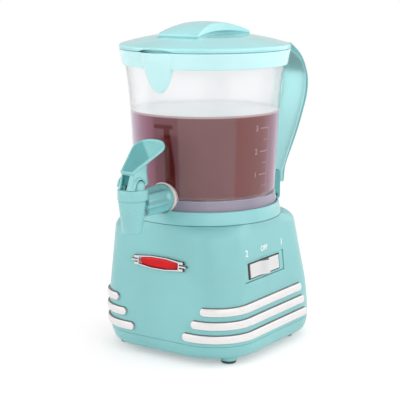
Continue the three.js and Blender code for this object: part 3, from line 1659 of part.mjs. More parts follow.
// The origin is the middle of the whole machine's footprint, on the surface it stands on
const extent = new THREE.Box3().setFromObject(machine);
const middle = extent.getCenter(new THREE.Vector3());
machine.position.set(-middle.x, -middle.y, -extent.min.z);
machine.updateMatrixWorld(true);

export default machine;
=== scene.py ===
import json
from math import acos, asin, atan2, copysign, cos, hypot, pi, radians, sin, sqrt, tan

import bmesh
import bpy
from mathutils import Matrix, Vector


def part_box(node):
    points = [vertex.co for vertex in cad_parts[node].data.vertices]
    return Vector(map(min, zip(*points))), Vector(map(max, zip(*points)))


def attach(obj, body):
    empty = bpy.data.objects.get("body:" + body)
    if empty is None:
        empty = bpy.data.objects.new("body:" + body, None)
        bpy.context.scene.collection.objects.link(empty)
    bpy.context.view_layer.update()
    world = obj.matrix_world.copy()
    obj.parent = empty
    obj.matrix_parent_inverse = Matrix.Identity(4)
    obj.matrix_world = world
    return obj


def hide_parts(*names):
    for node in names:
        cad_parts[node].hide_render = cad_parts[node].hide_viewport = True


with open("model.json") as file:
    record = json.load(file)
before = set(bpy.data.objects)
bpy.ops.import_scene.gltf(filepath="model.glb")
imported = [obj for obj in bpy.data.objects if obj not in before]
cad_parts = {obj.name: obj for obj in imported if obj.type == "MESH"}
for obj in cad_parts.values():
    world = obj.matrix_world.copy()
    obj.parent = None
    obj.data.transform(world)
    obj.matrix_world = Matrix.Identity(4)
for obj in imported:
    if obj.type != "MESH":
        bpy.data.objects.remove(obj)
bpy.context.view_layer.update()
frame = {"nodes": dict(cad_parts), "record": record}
nodes = frame["nodes"]

MM = 0.001

# The jug's axis, which every round piece shares
low_corner, high_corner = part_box("whisk_shaft")
AXIS = Vector(((low_corner.x + high_corner.x) / 2, (low_corner.y + high_corner.y) / 2, 0))

# Sizes in millimetres from the jug's axis, as in the part's source
GAP = 0.3
FOOT, SEAM, SHOULDER, HOUSING_TOP = 7, 18.5, 111, 121.5
SIDE, SIDE_TOP = 74, 65.1
FRONT, FRONT_TOP = 72.9, 68.8
BACK, BACK_TOP = 92.3, 72.3
CORNER, CORNER_GROWTH, CORNER_BLEND = 31, 11, 55
TUCK_HEIGHT, TUCK_DEPTH = 24, 5
SEAT_RADIUS = 69.2
WALL, JUG_WALL = 3, 2.2
FOOT_PLACES = [(-55.5, -44.5), (55.5, -44.5), (55.5, 52), (-55.5, 52)]
SCREW_PLACES = [(-42, -50), (42, -50), (42, 50), (-42, 50)]
JUG_BASE, JUG_LOW, JUG_BREAK, JUG_TOP = 128.3, 15.5, 87, 134
TAP_RISE, TAP_REACH = 15.6, 107
TAP_HEIGHT = JUG_BASE + TAP_RISE
BAND_TOP = TAP_HEIGHT + 14.4
PIVOT_Y, PIVOT_Z = -108.6, BAND_TOP + 2.2
RIM, RIM_BOTTOM = 76.2, 73.6
RIM_LOW, RIM_TOP = JUG_BASE + 127.2, JUG_BASE + 141
LID_LOW = RIM_TOP + GAP
HANDLE_TURN, HANDLE_HALF = 22, 17.5


def mix(a, b, t):
    return a + (b - a) * t


def clamp(t):
    return max(0.0, min(1.0, t))


def smooth(t):
    t = clamp(t)
    return t * t * (3 - 2 * t)


def srgb(*rgb):
    shares = (v / 255 for v in rgb)
    return tuple(v / 12.92 if v <= 0.04045 else ((v + 0.055) / 1.055) ** 2.4 for v in shares)


def shade(color, by):
    return tuple(min(1.0, c * by) for c in color)


class Tree:
    """The nodes of a material or world. An input that is given a socket is linked, and any other is set."""

    def __init__(self, owner):
        owner.use_nodes = True
        self.nodes, self.links = owner.node_tree.nodes, owner.node_tree.links
        self.main = self.nodes.get("Principled BSDF")

    def fill(self, node, inputs):
        for key, value in inputs.items():
            socket = node.inputs[key]
            if isinstance(value, bpy.types.NodeSocket):
                self.links.new(value, socket)
            else:
                socket.default_value = (*value, 1) if socket.type == "RGBA" else value

    def add(self, kind, out, inputs=(), **settings):
        node = self.nodes.new("ShaderNode" + kind)
        for key, value in settings.items():
            setattr(node, key, value)
        self.fill(node, dict(inputs))
        return node.outputs[out]

    def noise(self, scale, detail, stretch=(1, 1, 1)):
        spot = self.add("Mapping", "Vector", {"Vector": self.add("TexCoord", "Object"), "Scale": stretch})
        return self.add("TexNoise", "Fac", {"Vector": spot, "Scale": scale, "Detail": detail})

    def ramp(self, factor, stops):
        color = self.add("ValToRGB", "Color", {"Fac": factor})
        elements = color.node.color_ramp.elements
        while len(elements) < len(stops):
            elements.new(0.5)
        for element, (at, tone) in zip(elements, stops):
            element.position = at
            element.color = (*tone, 1)
        return color

    def ranged(self, value, low, high, start=0.0, end=1.0):
        ends = {"From Min": start, "From Max": end, "To Min": low, "To Max": high}
        return self.add("MapRange", "Result", {"Value": value, **ends})

    def math(self, operation, *values, clamped=False):
        return self.add("Math", "Value", enumerate(values), operation=operation, use_clamp=clamped)

    def between(self, value, start, end, blur):
        """1 between two bounds, falling to 0 over a blur outside them. Bounds may be sockets."""
        rise = self.math("DIVIDE", self.math("SUBTRACT", value, start), blur)
        fall = self.math("DIVIDE", self.math("SUBTRACT", end, value), blur)
        return self.math("MINIMUM", self.math("ADD", rise, 0.5), self.math("ADD", fall, 0.5), clamped=True)

    def mixed(self, factor, a, b, kind="MIX"):
        return self.add("Mix", 2, {0: factor, 6: a, 7: b}, data_type="RGBA", blend_type=kind)

    def rays(self, *kinds):
        """1 for a ray of any of the named kinds."""
        share = 0.0
        for kind in kinds:
            share = self.math("MAXIMUM", self.add("LightPath", f"Is {kind} Ray"), share)
        return share

    def blend(self, share, first, second):
        return self.add("MixShader", "Shader", {0: share, 1: first, 2: second})

    def show(self, shader, output="Material Output"):
        self.links.new(shader, self.nodes[output].inputs["Surface"])


def material(name, rgb, rough=0.4, metal=0.0, drift=0.05, grain=1100.0, depth=0.00002,
             spread=0.08, stretch=(1, 1, 1), coat=(0.0, 0.03), **more):
    """Moulded plastic or metal with fine grain, uneven gloss and a slow drift of its colour."""
    made = bpy.data.materials.new(name)
    tree = Tree(made)
    color = srgb(*rgb)
    tones = [(0.3, shade(color, 1 - drift)), (0.7, shade(color, 1 + drift))]
    fine = tree.noise(grain, 4.0, stretch)
    tree.fill(tree.main, {
        "Base Color": tree.ramp(tree.noise(18.0, 2.0), tones), "Metallic": metal,
        "Coat Weight": coat[0], "Coat Roughness": coat[1],
        "Roughness": tree.ranged(fine, max(0.02, rough - spread), rough + spread),
        "Normal": tree.add("Bump", "Normal", {"Strength": 0.35, "Distance": depth, "Height": fine}),
        **{key.replace("_", " "): value for key, value in more.items()},
    })
    return made


aqua = material("aqua", (138, 201, 202), 0.36, coat=(0.12, 0.15))
aqua_tap = material("aqua_tap", (144, 208, 209), 0.26, coat=(0.3, 0.1))
aqua_nut = material("aqua_nut", (130, 196, 198), 0.16, coat=(0.7, 0.05))
# The paddle face's darker aqua: painted shade
paddle_shade_and_sheen = material("paddle_shade_and_sheen", (106, 182, 184), 0.4)
# Dark teal for the hood's inside: painted shade
aqua_shade = material("aqua_shade", (40, 128, 128), 0.6)
seat_aqua = material("seat_aqua", (143, 206, 208), 0.32, coat=(0.2, 0.15))
pale = material("pale_aqua", (203, 247, 249), 0.22, coat=(0.3, 0.1))
lid_aqua = material("lid_aqua", (180, 245, 247), 0.16, coat=(0.4, 0.06))
# Darker copies of the lid's aqua for its flange and the ridge's sides: painted shade
lid_half_shade = material("lid_half_shade", (168, 228, 230), 0.2, coat=(0.3, 0.08))
lid_shade = material("lid_shade", (140, 198, 202), 0.3)
# Lighter and darker copies of the handle's aqua: painted light and painted shade
handle_lit = material("handle_lit", (222, 255, 255), 0.26, coat=(0.2, 0.12))
handle_shade = material("handle_shade", (106, 172, 174), 0.38)
# A darker aqua for the handle's leg: painted shade
leg_shade = material("leg_shade", (92, 164, 166), 0.45)
clear_foot = material("clear_foot", (178, 170, 190), 0.22, drift=0.12, spread=0.1,
                      Transmission_Weight=0.4, IOR=1.45)
lilac = material("lilac", (228, 218, 234), 0.45, drift=0.04)
chrome = material("chrome", (222, 220, 222), 0.16, 1.0, 0.03, spread=0.05)
# Edge tones for the bezel and the strips carry painted reflection, set by which way each face looks
bezel_reflection = material("bezel_reflection", (90, 84, 86), 0.25, 0.5, 0.06, spread=0.05)
chrome_reflection = material("chrome_reflection", (120, 114, 116), 0.25, 0.5, 0.06, spread=0.05)
strip_face = material("strip_face", (236, 233, 233), 0.3, 0.25, 0.02, 500.0, 0.00001, stretch=(0.15, 0.15, 3))
red = material("red", (206, 2, 16), 0.3, drift=0.35, coat=(0.15, 0.05), Specular_IOR_Level=0.2)
rocker = material("rocker", (226, 224, 224), 0.38, drift=0.02)
# A darker copy of the rocker's white for its ends and edges: painted shade
rocker_shade = material("rocker_shade", (128, 122, 122), 0.4, drift=0.03)
rubber = material("rubber", (52, 66, 68), 0.8, drift=0.1, grain=700.0, depth=0.00006)
cream = material("cream", (232, 221, 216), 0.5, drift=0.04)
steel = material("steel", (185, 188, 192), 0.32, 1.0, 0.05, 500.0, stretch=(1, 1, 0.1))
black = material("black", (34, 36, 38), 0.5, drift=0.1)
brass = material("brass", (200, 160, 80), 0.32, 1.0, 0.06)
brown = material("brown", (92, 44, 36), 0.45, drift=0.12)
white_paint = material("white_paint", (246, 250, 250), 0.45, drift=0.01)
mark_paint = material("mark_paint", (178, 146, 150), 0.4, drift=0.03)
froth = material("froth", (253, 250, 249), 0.3, 0.5, 0.02, 420.0, 0.00005, coat=(1.0, 0.15), Coat_IOR=2.2)

# The handle lets light through from behind, as thin tinted plastic does
tree = Tree(handle_lit)
thin = tree.add("BsdfTranslucent", "BSDF", {"Color": srgb(222, 255, 255)})
tree.show(tree.blend(0.62, tree.main.outputs["BSDF"], thin))


def paint_reflection_by_facing(owner, *tones):
    """Paints a reflection into an edge's colour by which way it faces: dark where it looks up, as if it
    mirrored a dark room.
    """
    tree = Tree(owner)
    up = tree.add("SeparateXYZ", "Z", {"Vector": tree.add("TexCoord", "Normal")})
    stops = [(at, srgb(*tone)) for at, tone in zip((0.2, 0.5, 0.72), tones)]
    tree.fill(tree.main, {"Base Color": tree.ramp(tree.ranged(up, 0, 1, -1), stops)})


# Painted reflection on the strip edges and the bezel edges: darker where they face up
paint_reflection_by_facing(chrome_reflection, (214, 210, 212), (192, 187, 189), (140, 134, 136))
paint_reflection_by_facing(bezel_reflection, (196, 192, 192), (92, 84, 86), (38, 34, 36))


def clear_plastic():
    made = bpy.data.materials.new("clear")
    tree = Tree(made)
    gloss = tree.ranged(tree.noise(60.0, 2.0), 0.06, 0.16)
    tree.fill(tree.main, {"Base Color": srgb(247, 248, 249), "Transmission Weight": 1.0, "IOR": 1.45})
    tree.fill(tree.main, {"Roughness": gloss})
    tree.show(tree.blend(tree.rays("Shadow"), tree.main.outputs["BSDF"], tree.add("BsdfTransparent", "BSDF")))
    return made


# The cocoa's tones through the wall, by the angle round the jug in degrees from the front: the cocoa's colour
# with painted reflection, lilac towards the sides and a paler band right of the front
DRINK_TONES_AND_SHEEN = [
    (-180, (126, 86, 88)), (-80, (190, 176, 196)), (-56, (194, 182, 202)), (-38, (178, 156, 174)),
    (-22, (152, 110, 130)), (-10, (138, 88, 104)), (-7, (120, 72, 84)), (13, (120, 74, 82)),
    (14, (128, 92, 94)), (57, (130, 94, 96)), (60, (126, 78, 76)), (84, (130, 86, 86)),
    (100, (146, 114, 130)), (118, (172, 154, 176)), (130, (174, 156, 178)), (160, (126, 86, 88)),
]
DRINK_LIGHT = 1.28


def drink_material():
    """Cocoa seen through the wall: its tone, with painted reflection, changes round the jug, and the strainer
    tube is painted dark as painted shade.
    """
    made = bpy.data.materials.new("drink")
    tree = Tree(made)
    place = tree.add("SeparateXYZ", "X", {"Vector": tree.add("TexCoord", "Object")}).node
    x, y, z = (place.outputs[k] for k in "XYZ")
    turn = tree.math("ARCTAN2", x, tree.math("SUBTRACT", AXIS.y, y))
    round_share = tree.math("ADD", tree.math("DIVIDE", turn, 2 * pi), 0.5)
    # Painted reflection round the jug over the cocoa's own colour
    side = tree.ramp(round_share, [(0.5 + a / 360, shade(srgb(*c), DRINK_LIGHT)) for a, c in DRINK_TONES_AND_SHEEN])
    light = tree.ramp(tree.noise(30.0, 3.0, (1, 1, 0.4)), [(0.3, (0.95, 0.94, 0.94)), (0.7, (1, 1, 1))])
    color = tree.mixed(1.0, side, light, "MULTIPLY")
    # Painted shade of the strainer tube: a dark T on the drink's surface
    tube_edge = tree.ranged(z, 7 * MM, 11 * MM, 203 * MM, 172 * MM)
    stem = tree.math("MULTIPLY", tree.between(x, 1.4 * MM, tube_edge, 1.6 * MM),
                     tree.between(z, 150 * MM, 205 * MM, 3 * MM))
    bar = tree.math("MULTIPLY", tree.between(x, -9 * MM, 10 * MM, 1.5 * MM),
                    tree.between(z, 204 * MM, 207.5 * MM, 1.4 * MM))
    tube = tree.math("MULTIPLY", tree.math("MAXIMUM", stem, bar), tree.between(turn, -1.2, 1.2, 0.1))
    color = tree.mixed(tube, color, srgb(98, 26, 18))
    line = tree.between(z, 213.9 * MM, 216.5 * MM, 0.9 * MM)
    color = tree.mixed(tree.math("MULTIPLY", line, 0.75), color, srgb(222, 206, 204))
    tree.fill(tree.main, {"Base Color": color, "Specular IOR Level": 0.0, "Roughness": 0.6})
    return made


clear = clear_plastic()
drink = drink_material()
BY_SLOT = {
    "aqua": aqua, "pale_aqua": pale, "clear": clear, "chrome": chrome, "strip": strip_face,
    "red": red, "rocker": rocker, "rubber": rubber, "cream": cream, "steel": steel,
    "black": black, "brass": brass, "brown": brown,
}
INSIDE_FOOT = {"underside_cap": lilac, "plate_seal": lilac}
SLOT_OF = {}
for entry in frame["record"]["subparts"]:
    node, slot = entry["node"], entry["material_slot"]
    SLOT_OF[node] = slot
    part = nodes[node]
    part.data.materials.clear()
    part.data.materials.append(INSIDE_FOOT.get(node, BY_SLOT[slot]))
    part.data.polygons.foreach_set("use_smooth", [True] * len(part.data.polygons))
    weld = part.modifiers.new("weld", "WELD")
    weld.merge_threshold = 0.02 * MM
    bevel = part.modifiers.new("bevel", "BEVEL")
    bevel.width = 0.25 * MM
    bevel.segments = 2
    bevel.limit_method = "ANGLE"
    bevel.angle_limit = radians(40)
    split = part.modifiers.new("edges", "EDGE_SPLIT")
    split.split_angle = radians(38)


# Mesh tools
def in_scene(name, data):
    obj = bpy.data.objects.new(name, data)
    bpy.context.scene.collection.objects.link(obj)
    return obj


def box(x0, y0, x1, y1, *reach):
    """A rectangle's corners, each marked with how far its round reaches, if one is given."""
    return [(x0, y0, *reach), (x1, y0, *reach), (x1, y1, *reach), (x0, y1, *reach)]


def rectangle(length, height, *reach):
    return box(-length / 2, -height / 2, length / 2, height / 2, *reach)
def soft(points, steps=4, closed=False):
    """A line with its marked corners rounded: each point is (a, b) or (a, b, how far the round reaches)."""
    out = []
    count = len(points)
    for i, point in enumerate(points):
        reach = point[2] if len(point) > 2 else 0
        here = Vector(point[:2])
        if not reach or (not closed and i in (0, count - 1)):
            out.append((here.x, here.y))
            continue
        before = Vector(points[i - 1][:2]) - here
        after = Vector(points[(i + 1) % count][:2]) - here
        first = here + before.normalized() * min(reach, before.length * 0.48)
        last = here + after.normalized() * min(reach, after.length * 0.48)
        for k in range(steps + 1):
            t = k / steps
            p = first * (1 - t) ** 2 + here * 2 * t * (1 - t) + last * t * t
            out.append((p.x, p.y))
    return out


class Mold:
    """Collects rings and sheets of points, in millimetres from the jug's axis, for one piece."""

    def __init__(self):
        self.points, self.faces, self.marks = [], [], []

    def skin(self, rings, mark=0, close=True, start=False, end=False):
        base = len(self.points)
        count = len(rings[0])
        for ring in rings:
            self.points.extend(tuple(p) for p in ring)
        for i in range(len(rings) - 1):
            for j in range(count if close else count - 1):
                k = (j + 1) % count
                a, b = base + i * count + j, base + i * count + k
                self.faces.append((a, b, b + count, a + count))
                self.marks.append(mark(i, j) if callable(mark) else mark)
        last = base + (len(rings) - 1) * count
        for wanted, at in ((start, base), (end, last)):
            if wanted:
                self.faces.append(tuple(range(at, at + count)))
                self.marks.append(mark(0, 0) if callable(mark) else mark)
        return self

    def lathe(self, profile, segments=128, put=None, mark=0, loop=False):
        """Turns a line of (radius, height) about Z, or about the axis that put lays it on."""
        put = put or across("z")
        turns = [2 * pi * i / segments for i in range(segments)]
        rings = [[put(radius * cos(t), radius * sin(t), height) for t in turns] for radius, height in profile]
        if loop:
            rings.append(rings[0])
        return self.skin(rings, mark)

    def slab(self, outline, put, low, high, mark=0):
        """Raises a closed outline from one height to another."""
        return self.skin([[put(a, b, low) for a, b in outline], [put(a, b, high) for a, b in outline]],
                         mark, start=True, end=True)

    def object(self, name="cutter", mats=None, sharp=35.0):
        data = bpy.data.meshes.new(name)
        places = [(AXIS.x + x * MM, AXIS.y + y * MM, z * MM) for x, y, z in self.points]
        data.from_pydata(places, [], self.faces)
        for m in mats or [aqua]:
            data.materials.append(m)
        data.polygons.foreach_set("material_index", self.marks)
        finish_mesh(data, sharp)
        return in_scene(name, data)


def finish_mesh(data, sharp):
    work = bmesh.new()
    work.from_mesh(data)
    bmesh.ops.remove_doubles(work, verts=work.verts, dist=0.000004)
    bmesh.ops.dissolve_degenerate(work, edges=work.edges, dist=0.000002)
    bmesh.ops.recalc_face_normals(work, faces=work.faces)
    work.to_mesh(data)
    work.free()
    data.polygons.foreach_set("use_smooth", [True] * len(data.polygons))
    data.set_sharp_from_angle(angle=radians(sharp))


def carve(obj, cutters, sharp=35.0):
    for cutter in cutters:
        cutting = obj.modifiers.new("cut", "BOOLEAN")
        cutting.operation = "DIFFERENCE"
        cutting.solver = "EXACT"
        cutting.object = cutter
    bpy.context.view_layer.update()
    data = bpy.data.meshes.new_from_object(obj.evaluated_get(bpy.context.evaluated_depsgraph_get()))
    obj.modifiers.clear()
    obj.data = data
    for cutter in cutters:
        bpy.data.objects.remove(cutter)
    finish_mesh(data, sharp)


def round_edges(obj, width, segments=3, angle=40.0, mark=-1):
    edge = obj.modifiers.new("round", "BEVEL")
    edge.width = width * MM
    edge.segments = segments
    edge.limit_method = "ANGLE"
    edge.angle_limit = radians(angle)
    edge.material = mark
    return obj


def settle(obj, body, *stands_for, slot=None):
    """Rides a piece on its body, in place of the solids that it stands for."""
    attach(obj, body)
    if stands_for:
        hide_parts(*stands_for)
    slot or SLOT_OF[stands_for[0]]


def across(axis, x=0, y=0, z=0):
    """Lays a lathe's axis or a slab's height along X, Y or Z, through a point."""
    if axis == "x":
        return lambda a, b, c: (c, y + a, z + b)
    if axis == "y":
        return lambda a, b, c: (x + a, c, z + b)
    return lambda a, b, c: (x + a, y + b, c)


# The housing's tapering rounded square
def reach_at(low, high, z):
    """How far out a face lies at a height, between its lower and upper reach."""
    return low + (high - low) * (z - SEAM) / (SHOULDER - SEAM)


def corner_at(z):
    """The corners' radius, which grows towards the floor."""
    return CORNER + CORNER_GROWTH * (max(0.0, CORNER_BLEND - z) / (CORNER_BLEND - SEAM)) ** 1.5


def tuck_at(z):
    """How far the wall is drawn in under the seam, as a quarter of an ellipse."""
    share = clamp((TUCK_HEIGHT - z) / (TUCK_HEIGHT - FOOT))
    return TUCK_DEPTH * (1 - sqrt(1 - share * share))


ARC_STEPS, FACE_STEPS, SHOULDER_STEPS = 16, 12, 14


def wall_ring(z, inset=0.0, turn=0.0):
    """The wall's outline at a height, drawn in by an inset. Turn is its share of the seat's circle."""
    drawn = inset + tuck_at(z)
    side = reach_at(SIDE, SIDE_TOP, z) - drawn
    front = reach_at(FRONT, FRONT_TOP, z) - drawn
    back = reach_at(BACK, BACK_TOP, z) - drawn
    corner = corner_at(z) - drawn
    corners = [(side, -front), (side, back), (-side, back), (-side, -front)]
    outline = []
    for quarter, (x, y) in enumerate(corners):
        cx, cy = x - copysign(corner, x), y - copysign(corner, y)
        for i in range(ARC_STEPS + 1):
            angle = (quarter - 1 + i / ARC_STEPS) * pi / 2
            outline.append((cx + corner * cos(angle), cy + corner * sin(angle)))
    ring = []
    for i, (x, y) in enumerate(outline):
        ring.append((x, y))
        if i % (ARC_STEPS + 1) == ARC_STEPS:
            nx, ny = outline[(i + 1) % len(outline)]
            shares = (k / FACE_STEPS for k in range(1, FACE_STEPS))
            ring.extend((mix(x, nx, share), mix(y, ny, share)) for share in shares)
    out = []
    for x, y in ring:
        length = hypot(x, y)
        out.append((mix(x, x * SEAT_RADIUS / length, turn), mix(y, y * SEAT_RADIUS / length, turn), z))
    return out


def housing_rings():
    bottom = SEAM + GAP
    heights = [bottom] + [mix(bottom, TUCK_HEIGHT, t / 3) for t in (1, 2, 3)]
    heights += [mix(TUCK_HEIGHT, CORNER_BLEND, t / 6) for t in range(1, 7)] + [74, 93]
    rings = [wall_ring(z) for z in heights]
    for i in range(SHOULDER_STEPS + 1):
        t = i / SHOULDER_STEPS * pi / 2
        rings.append(wall_ring(mix(SHOULDER, HOUSING_TOP, sin(t)), 0, 1 - cos(t)))
    return rings


def face_frame(low, high, axis, along, z):
    """Puts (along, up, outward) on a sloping face, from a point at that height."""
    slope = atan2(low - high, SHOULDER - SEAM)
    axis, up = Vector(axis), Vector((0, 0, 1))
    outward = axis * cos(slope) + up * sin(slope)
    right = up.cross(axis).normalized()
    rise = outward.cross(right)
    origin = axis * reach_at(low, high, z) + right * along + up * z
    return lambda a, b, c: tuple(origin + right * a + rise * b + outward * c)


BADGE_Z, SWITCH_Y, SWITCH_Z, GLAND_Z = 87, -6.2, 80.5, 30
on_front = face_frame(FRONT, FRONT_TOP, (0, -1, 0), 0, BADGE_Z)
on_switch = face_frame(SIDE, SIDE_TOP, (1, 0, 0), SWITCH_Y, SWITCH_Z)
on_back = face_frame(BACK, BACK_TOP, (0, 1, 0), 0, GLAND_Z)


# Base
FRAME_LENGTH, FRAME_HEIGHT = 65, 18
rings = housing_rings()
top_ring = rings[-1]
rings += [[(x * r / SEAT_RADIUS, y * r / SEAT_RADIUS, z) for x, y, z in top_ring] for r in (62, 44, 24)]
housing = Mold().skin(rings).object("housing", [aqua])
shell = housing.modifiers.new("wall", "SOLIDIFY")
shell.thickness = WALL * MM
shell.offset = -1
# Openings for the switch, the cord's gland and the supply contact
carve(housing, [
    Mold().slab(rectangle(FRAME_LENGTH + 2 * GAP, FRAME_HEIGHT + 2 * GAP), on_switch, -6, 4).object(),
    Mold().lathe(box(0, -8, 5.3, 8), 48, on_back).object(),
    Mold().slab(box(-13.5, 31.5, 13.5, 44.5), across("z"), 115, 125).object(),
])
settle(round_edges(housing, 0.35, 2, 50), "base", "base_housing")

TUCK_STEPS, TRAY_FLOOR, TRAY_WALL = 14, 12, 4.2
tuck_start = asin((TUCK_HEIGHT - SEAM) / (TUCK_HEIGHT - FOOT))
rings = [wall_ring(TRAY_FLOOR, TRAY_WALL), wall_ring(SEAM, TRAY_WALL)]
for i in range(TUCK_STEPS + 1):
    rings.append(wall_ring(TUCK_HEIGHT - (TUCK_HEIGHT - FOOT) * sin(mix(tuck_start, pi / 2, i / TUCK_STEPS))))
floor_ring = rings[-1]
rings += [[(x * s, y * s, z) for x, y, z in floor_ring] for s in (0.8, 0.5)]
tray = Mold().skin(rings, start=True, end=True).object("tray", [aqua])
vents = [Mold().slab(soft(box(-19, y - 1.5, 19, y + 1.5, 1.4), 4, True), across("z"), 0, 11).object()
         for y in (-12, -4, 4, 12)]
wells = [Mold().lathe(box(0, 0, 3.9, 9.4), 32, across("z", x, y)).object() for x, y in SCREW_PLACES]
carve(tray, vents + wells)
settle(round_edges(tray, 0.4, 2, 50), "base", "bottom_tray")

posts = Mold()
for x, y in FOOT_PLACES:
    posts.lathe(soft([(0, 2.7), (7.3, 2.7, 0.8), (7.5, 8.6), (0, 8.6)]), 48, across("z", x, y))
settle(posts.object("foot_posts", [aqua]), "base", slot="aqua")
pad_line = soft([
    (0, 0), (4.6, 0, 0.5), (5.0, 0.35, 0.3), (6.0, 0.35, 0.5), (6.6, 0.9, 0.6), (6.6, 2.4, 0.3), (0, 2.6),
])
for i, (x, y) in enumerate(FOOT_PLACES):
    pad = Mold().lathe(pad_line, 64, across("z", x, y)).object(f"pad_{i + 1}", [rubber])
    settle(pad, "base", f"foot_pad_{i + 1}")

SEAT_FLOOR, SEAT_BOTTOM, SEAT_TOP = 128, 125, 133.2
seat = Mold().lathe(soft([
    (20, SEAT_BOTTOM, 0.4), (60, SEAT_BOTTOM, 0.4), (60, HOUSING_TOP + GAP, 0.3),
    (69, HOUSING_TOP + GAP, 0.5), (67.2, 132.4, 1.1), (66.6, SEAT_TOP, 0.9), (65.1, SEAT_TOP, 0.5),
    (65.1, SEAT_FLOOR, 1.2), (20, SEAT_FLOOR, 0.5),
], 5, True), 192, loop=True).object("seat", [seat_aqua])
carve(seat, [Mold().lathe(box(0, -100, 13.2, -59), 96, across("y", 0, 0, TAP_HEIGHT)).object()])
settle(round_edges(seat, 0.3, 2, 50), "base", "seat_collar")


# Trim strips: crowned bands with round ends that follow the wall round a front corner
STRIP_HALF, STRIP_PROUD, STRIP_EDGE, STRIP_COLUMNS = 4.0, 2.5, 1.25, 52
STRIP_LOW, STRIP_PITCH = 25.9, 12.2


def strip_piece(step, hand):
    height = STRIP_LOW + step * STRIP_PITCH
    front_end, side_end = 26 + step * 8.7, 59 - step * 3.5
    # Points lie closer together near the band's edges
    near = [0, 0.1, 0.3, 0.6, 0.95, 1.35, 1.9, 2.7, 4.0]
    rows, depths = [], []
    offsets = [-STRIP_HALF + d for d in near] + [STRIP_HALF - d for d in reversed(near[:-1])]
    for v in offsets:
        z = height + v
        tip = STRIP_HALF - sqrt(max(0.0, STRIP_HALF ** 2 - v * v))
        x0, y1 = front_end + tip, side_end - tip
        side = reach_at(SIDE, SIDE_TOP, z)
        front = reach_at(FRONT, FRONT_TOP, z)
        corner = corner_at(z)
        cx, cy = side - corner, -front + corner
        straight = max(0.0, cx - x0)
        start = -pi / 2 if x0 <= cx else -acos(clamp((x0 - cx) / corner))
        arc = -start * corner
        total = straight + arc + max(0.0, y1 - cy)
        spots = near[:-1] + [mix(4.0, total - 4.0, k / STRIP_COLUMNS) for k in range(STRIP_COLUMNS + 1)]
        spots += [total - d for d in reversed(near[:-1])]
        row, depth = [], []
        for s in spots:
            if s < straight:
                at, out = (x0 + s, -front), (0, -1)
            elif s < straight + arc:
                angle = start + (s - straight) / corner
                out = (cos(angle), sin(angle))
                at = (cx + corner * out[0], cy + corner * out[1])
            else:
                at, out = (side, cy + s - straight - arc), (1, 0)
            along = min(s, total - s) + tip
            gap = STRIP_HALF - abs(v)
            if along < STRIP_HALF:
                gap = STRIP_HALF - hypot(STRIP_HALF - along, v)
            d = clamp(gap / STRIP_EDGE)
            rise = (STRIP_PROUD - 0.35) * sqrt(1 - (1 - d) ** 2) + 0.35 * clamp(gap / STRIP_HALF) ** 0.8
            row.append((hand * (at[0] + out[0] * rise), at[1] + out[1] * rise, z))
            depth.append(gap)
        rows.append(row)
        depths.append(depth)

    # Faces near the band's edges take the chrome with painted reflection
    def mark(i, j):
        return 1 if min(depths[i][j], depths[i + 1][j + 1], depths[i][j + 1], depths[i + 1][j]) < 0.3 else 0

    name = f"{'right' if hand > 0 else 'left'}_{step + 1}"
    body = Mold().skin(rows, mark, close=False).object(f"strip_{name}", [strip_face, chrome_reflection], 60)
    back = body.modifiers.new("back", "SOLIDIFY")
    back.thickness = 0.3 * MM
    back.offset = -1
    settle(body, "base", f"trim_strip_{name}")


for strip_step in range(3):
    strip_piece(strip_step, 1)
    strip_piece(strip_step, -1)


# Badge: finned frame with a domed bare field
def mirrored(quarter):
    right = quarter + [(x, -y) for x, y in reversed(quarter)]
    return right + [(-x, y) for x, y in reversed(right)]


BODY, TIP, HALF, FIN = 22.5, 29.5, 5.9, 1.9
FIELD, FIELD_HALF = 20.9, 4.5
fin_tip, fin_gap = mix(BODY, TIP, 0.55), FIN / 2 + FIN / 3
outline = mirrored([
    (BODY * 0.35, HALF), (BODY, HALF * 0.74), (fin_tip, HALF * 0.74), (fin_tip, fin_gap), (BODY, fin_gap),
    (BODY, FIN / 2), (TIP, FIN / 2),
])
window = mirrored([(FIELD * 0.35, FIELD_HALF), (FIELD, FIELD_HALF * 0.62)])
# The bezel's sides and rounded edges take painted reflection, dark where they face up
bezel = Mold().slab(outline, on_front, -0.1, 2.6, 1).object("bezel", [chrome, bezel_reflection])
for side in bezel.data.polygons:
    if len(side.vertices) > 4:
        side.material_index = 0
carve(bezel, [Mold().slab(window, on_front, 1.0, 6).object()])
settle(round_edges(bezel, 0.75, 3, 30, 1), "base", "badge_bezel")
ring = soft([(x * 0.975, y * 0.95, 2.6) for x, y in window], 6, True)
dome = ((1.0, 1.0), (0.97, 1.5), (0.85, 1.7), (0.6, 1.85), (0.3, 1.9), (0.05, 1.9))
rows = [[on_front(x * share, y * share, rise) for x, y in ring] for share, rise in dome]
settle(Mold().skin(rows, end=True).object("badge_field", [red], 70), "base", "badge_insert")

# Switch: flush frame, rocker with two wings and a raised rib
switch = Mold().slab(soft(rectangle(FRAME_LENGTH, FRAME_HEIGHT, 1.2), 4, True), on_switch, -5.4, -0.7)
switch = switch.object("switch_frame", [aqua, black])
# The opening's walls take black: painted shade in the gap round the rocker
opening = Mold().slab(soft(rectangle(52.2, 14.2, 0.9), 4, True), on_switch, -9, 4, 1)
carve(switch, [opening.object("opening", [aqua, black])])
settle(round_edges(switch, 0.4, 3), "base", "switch_bezel")

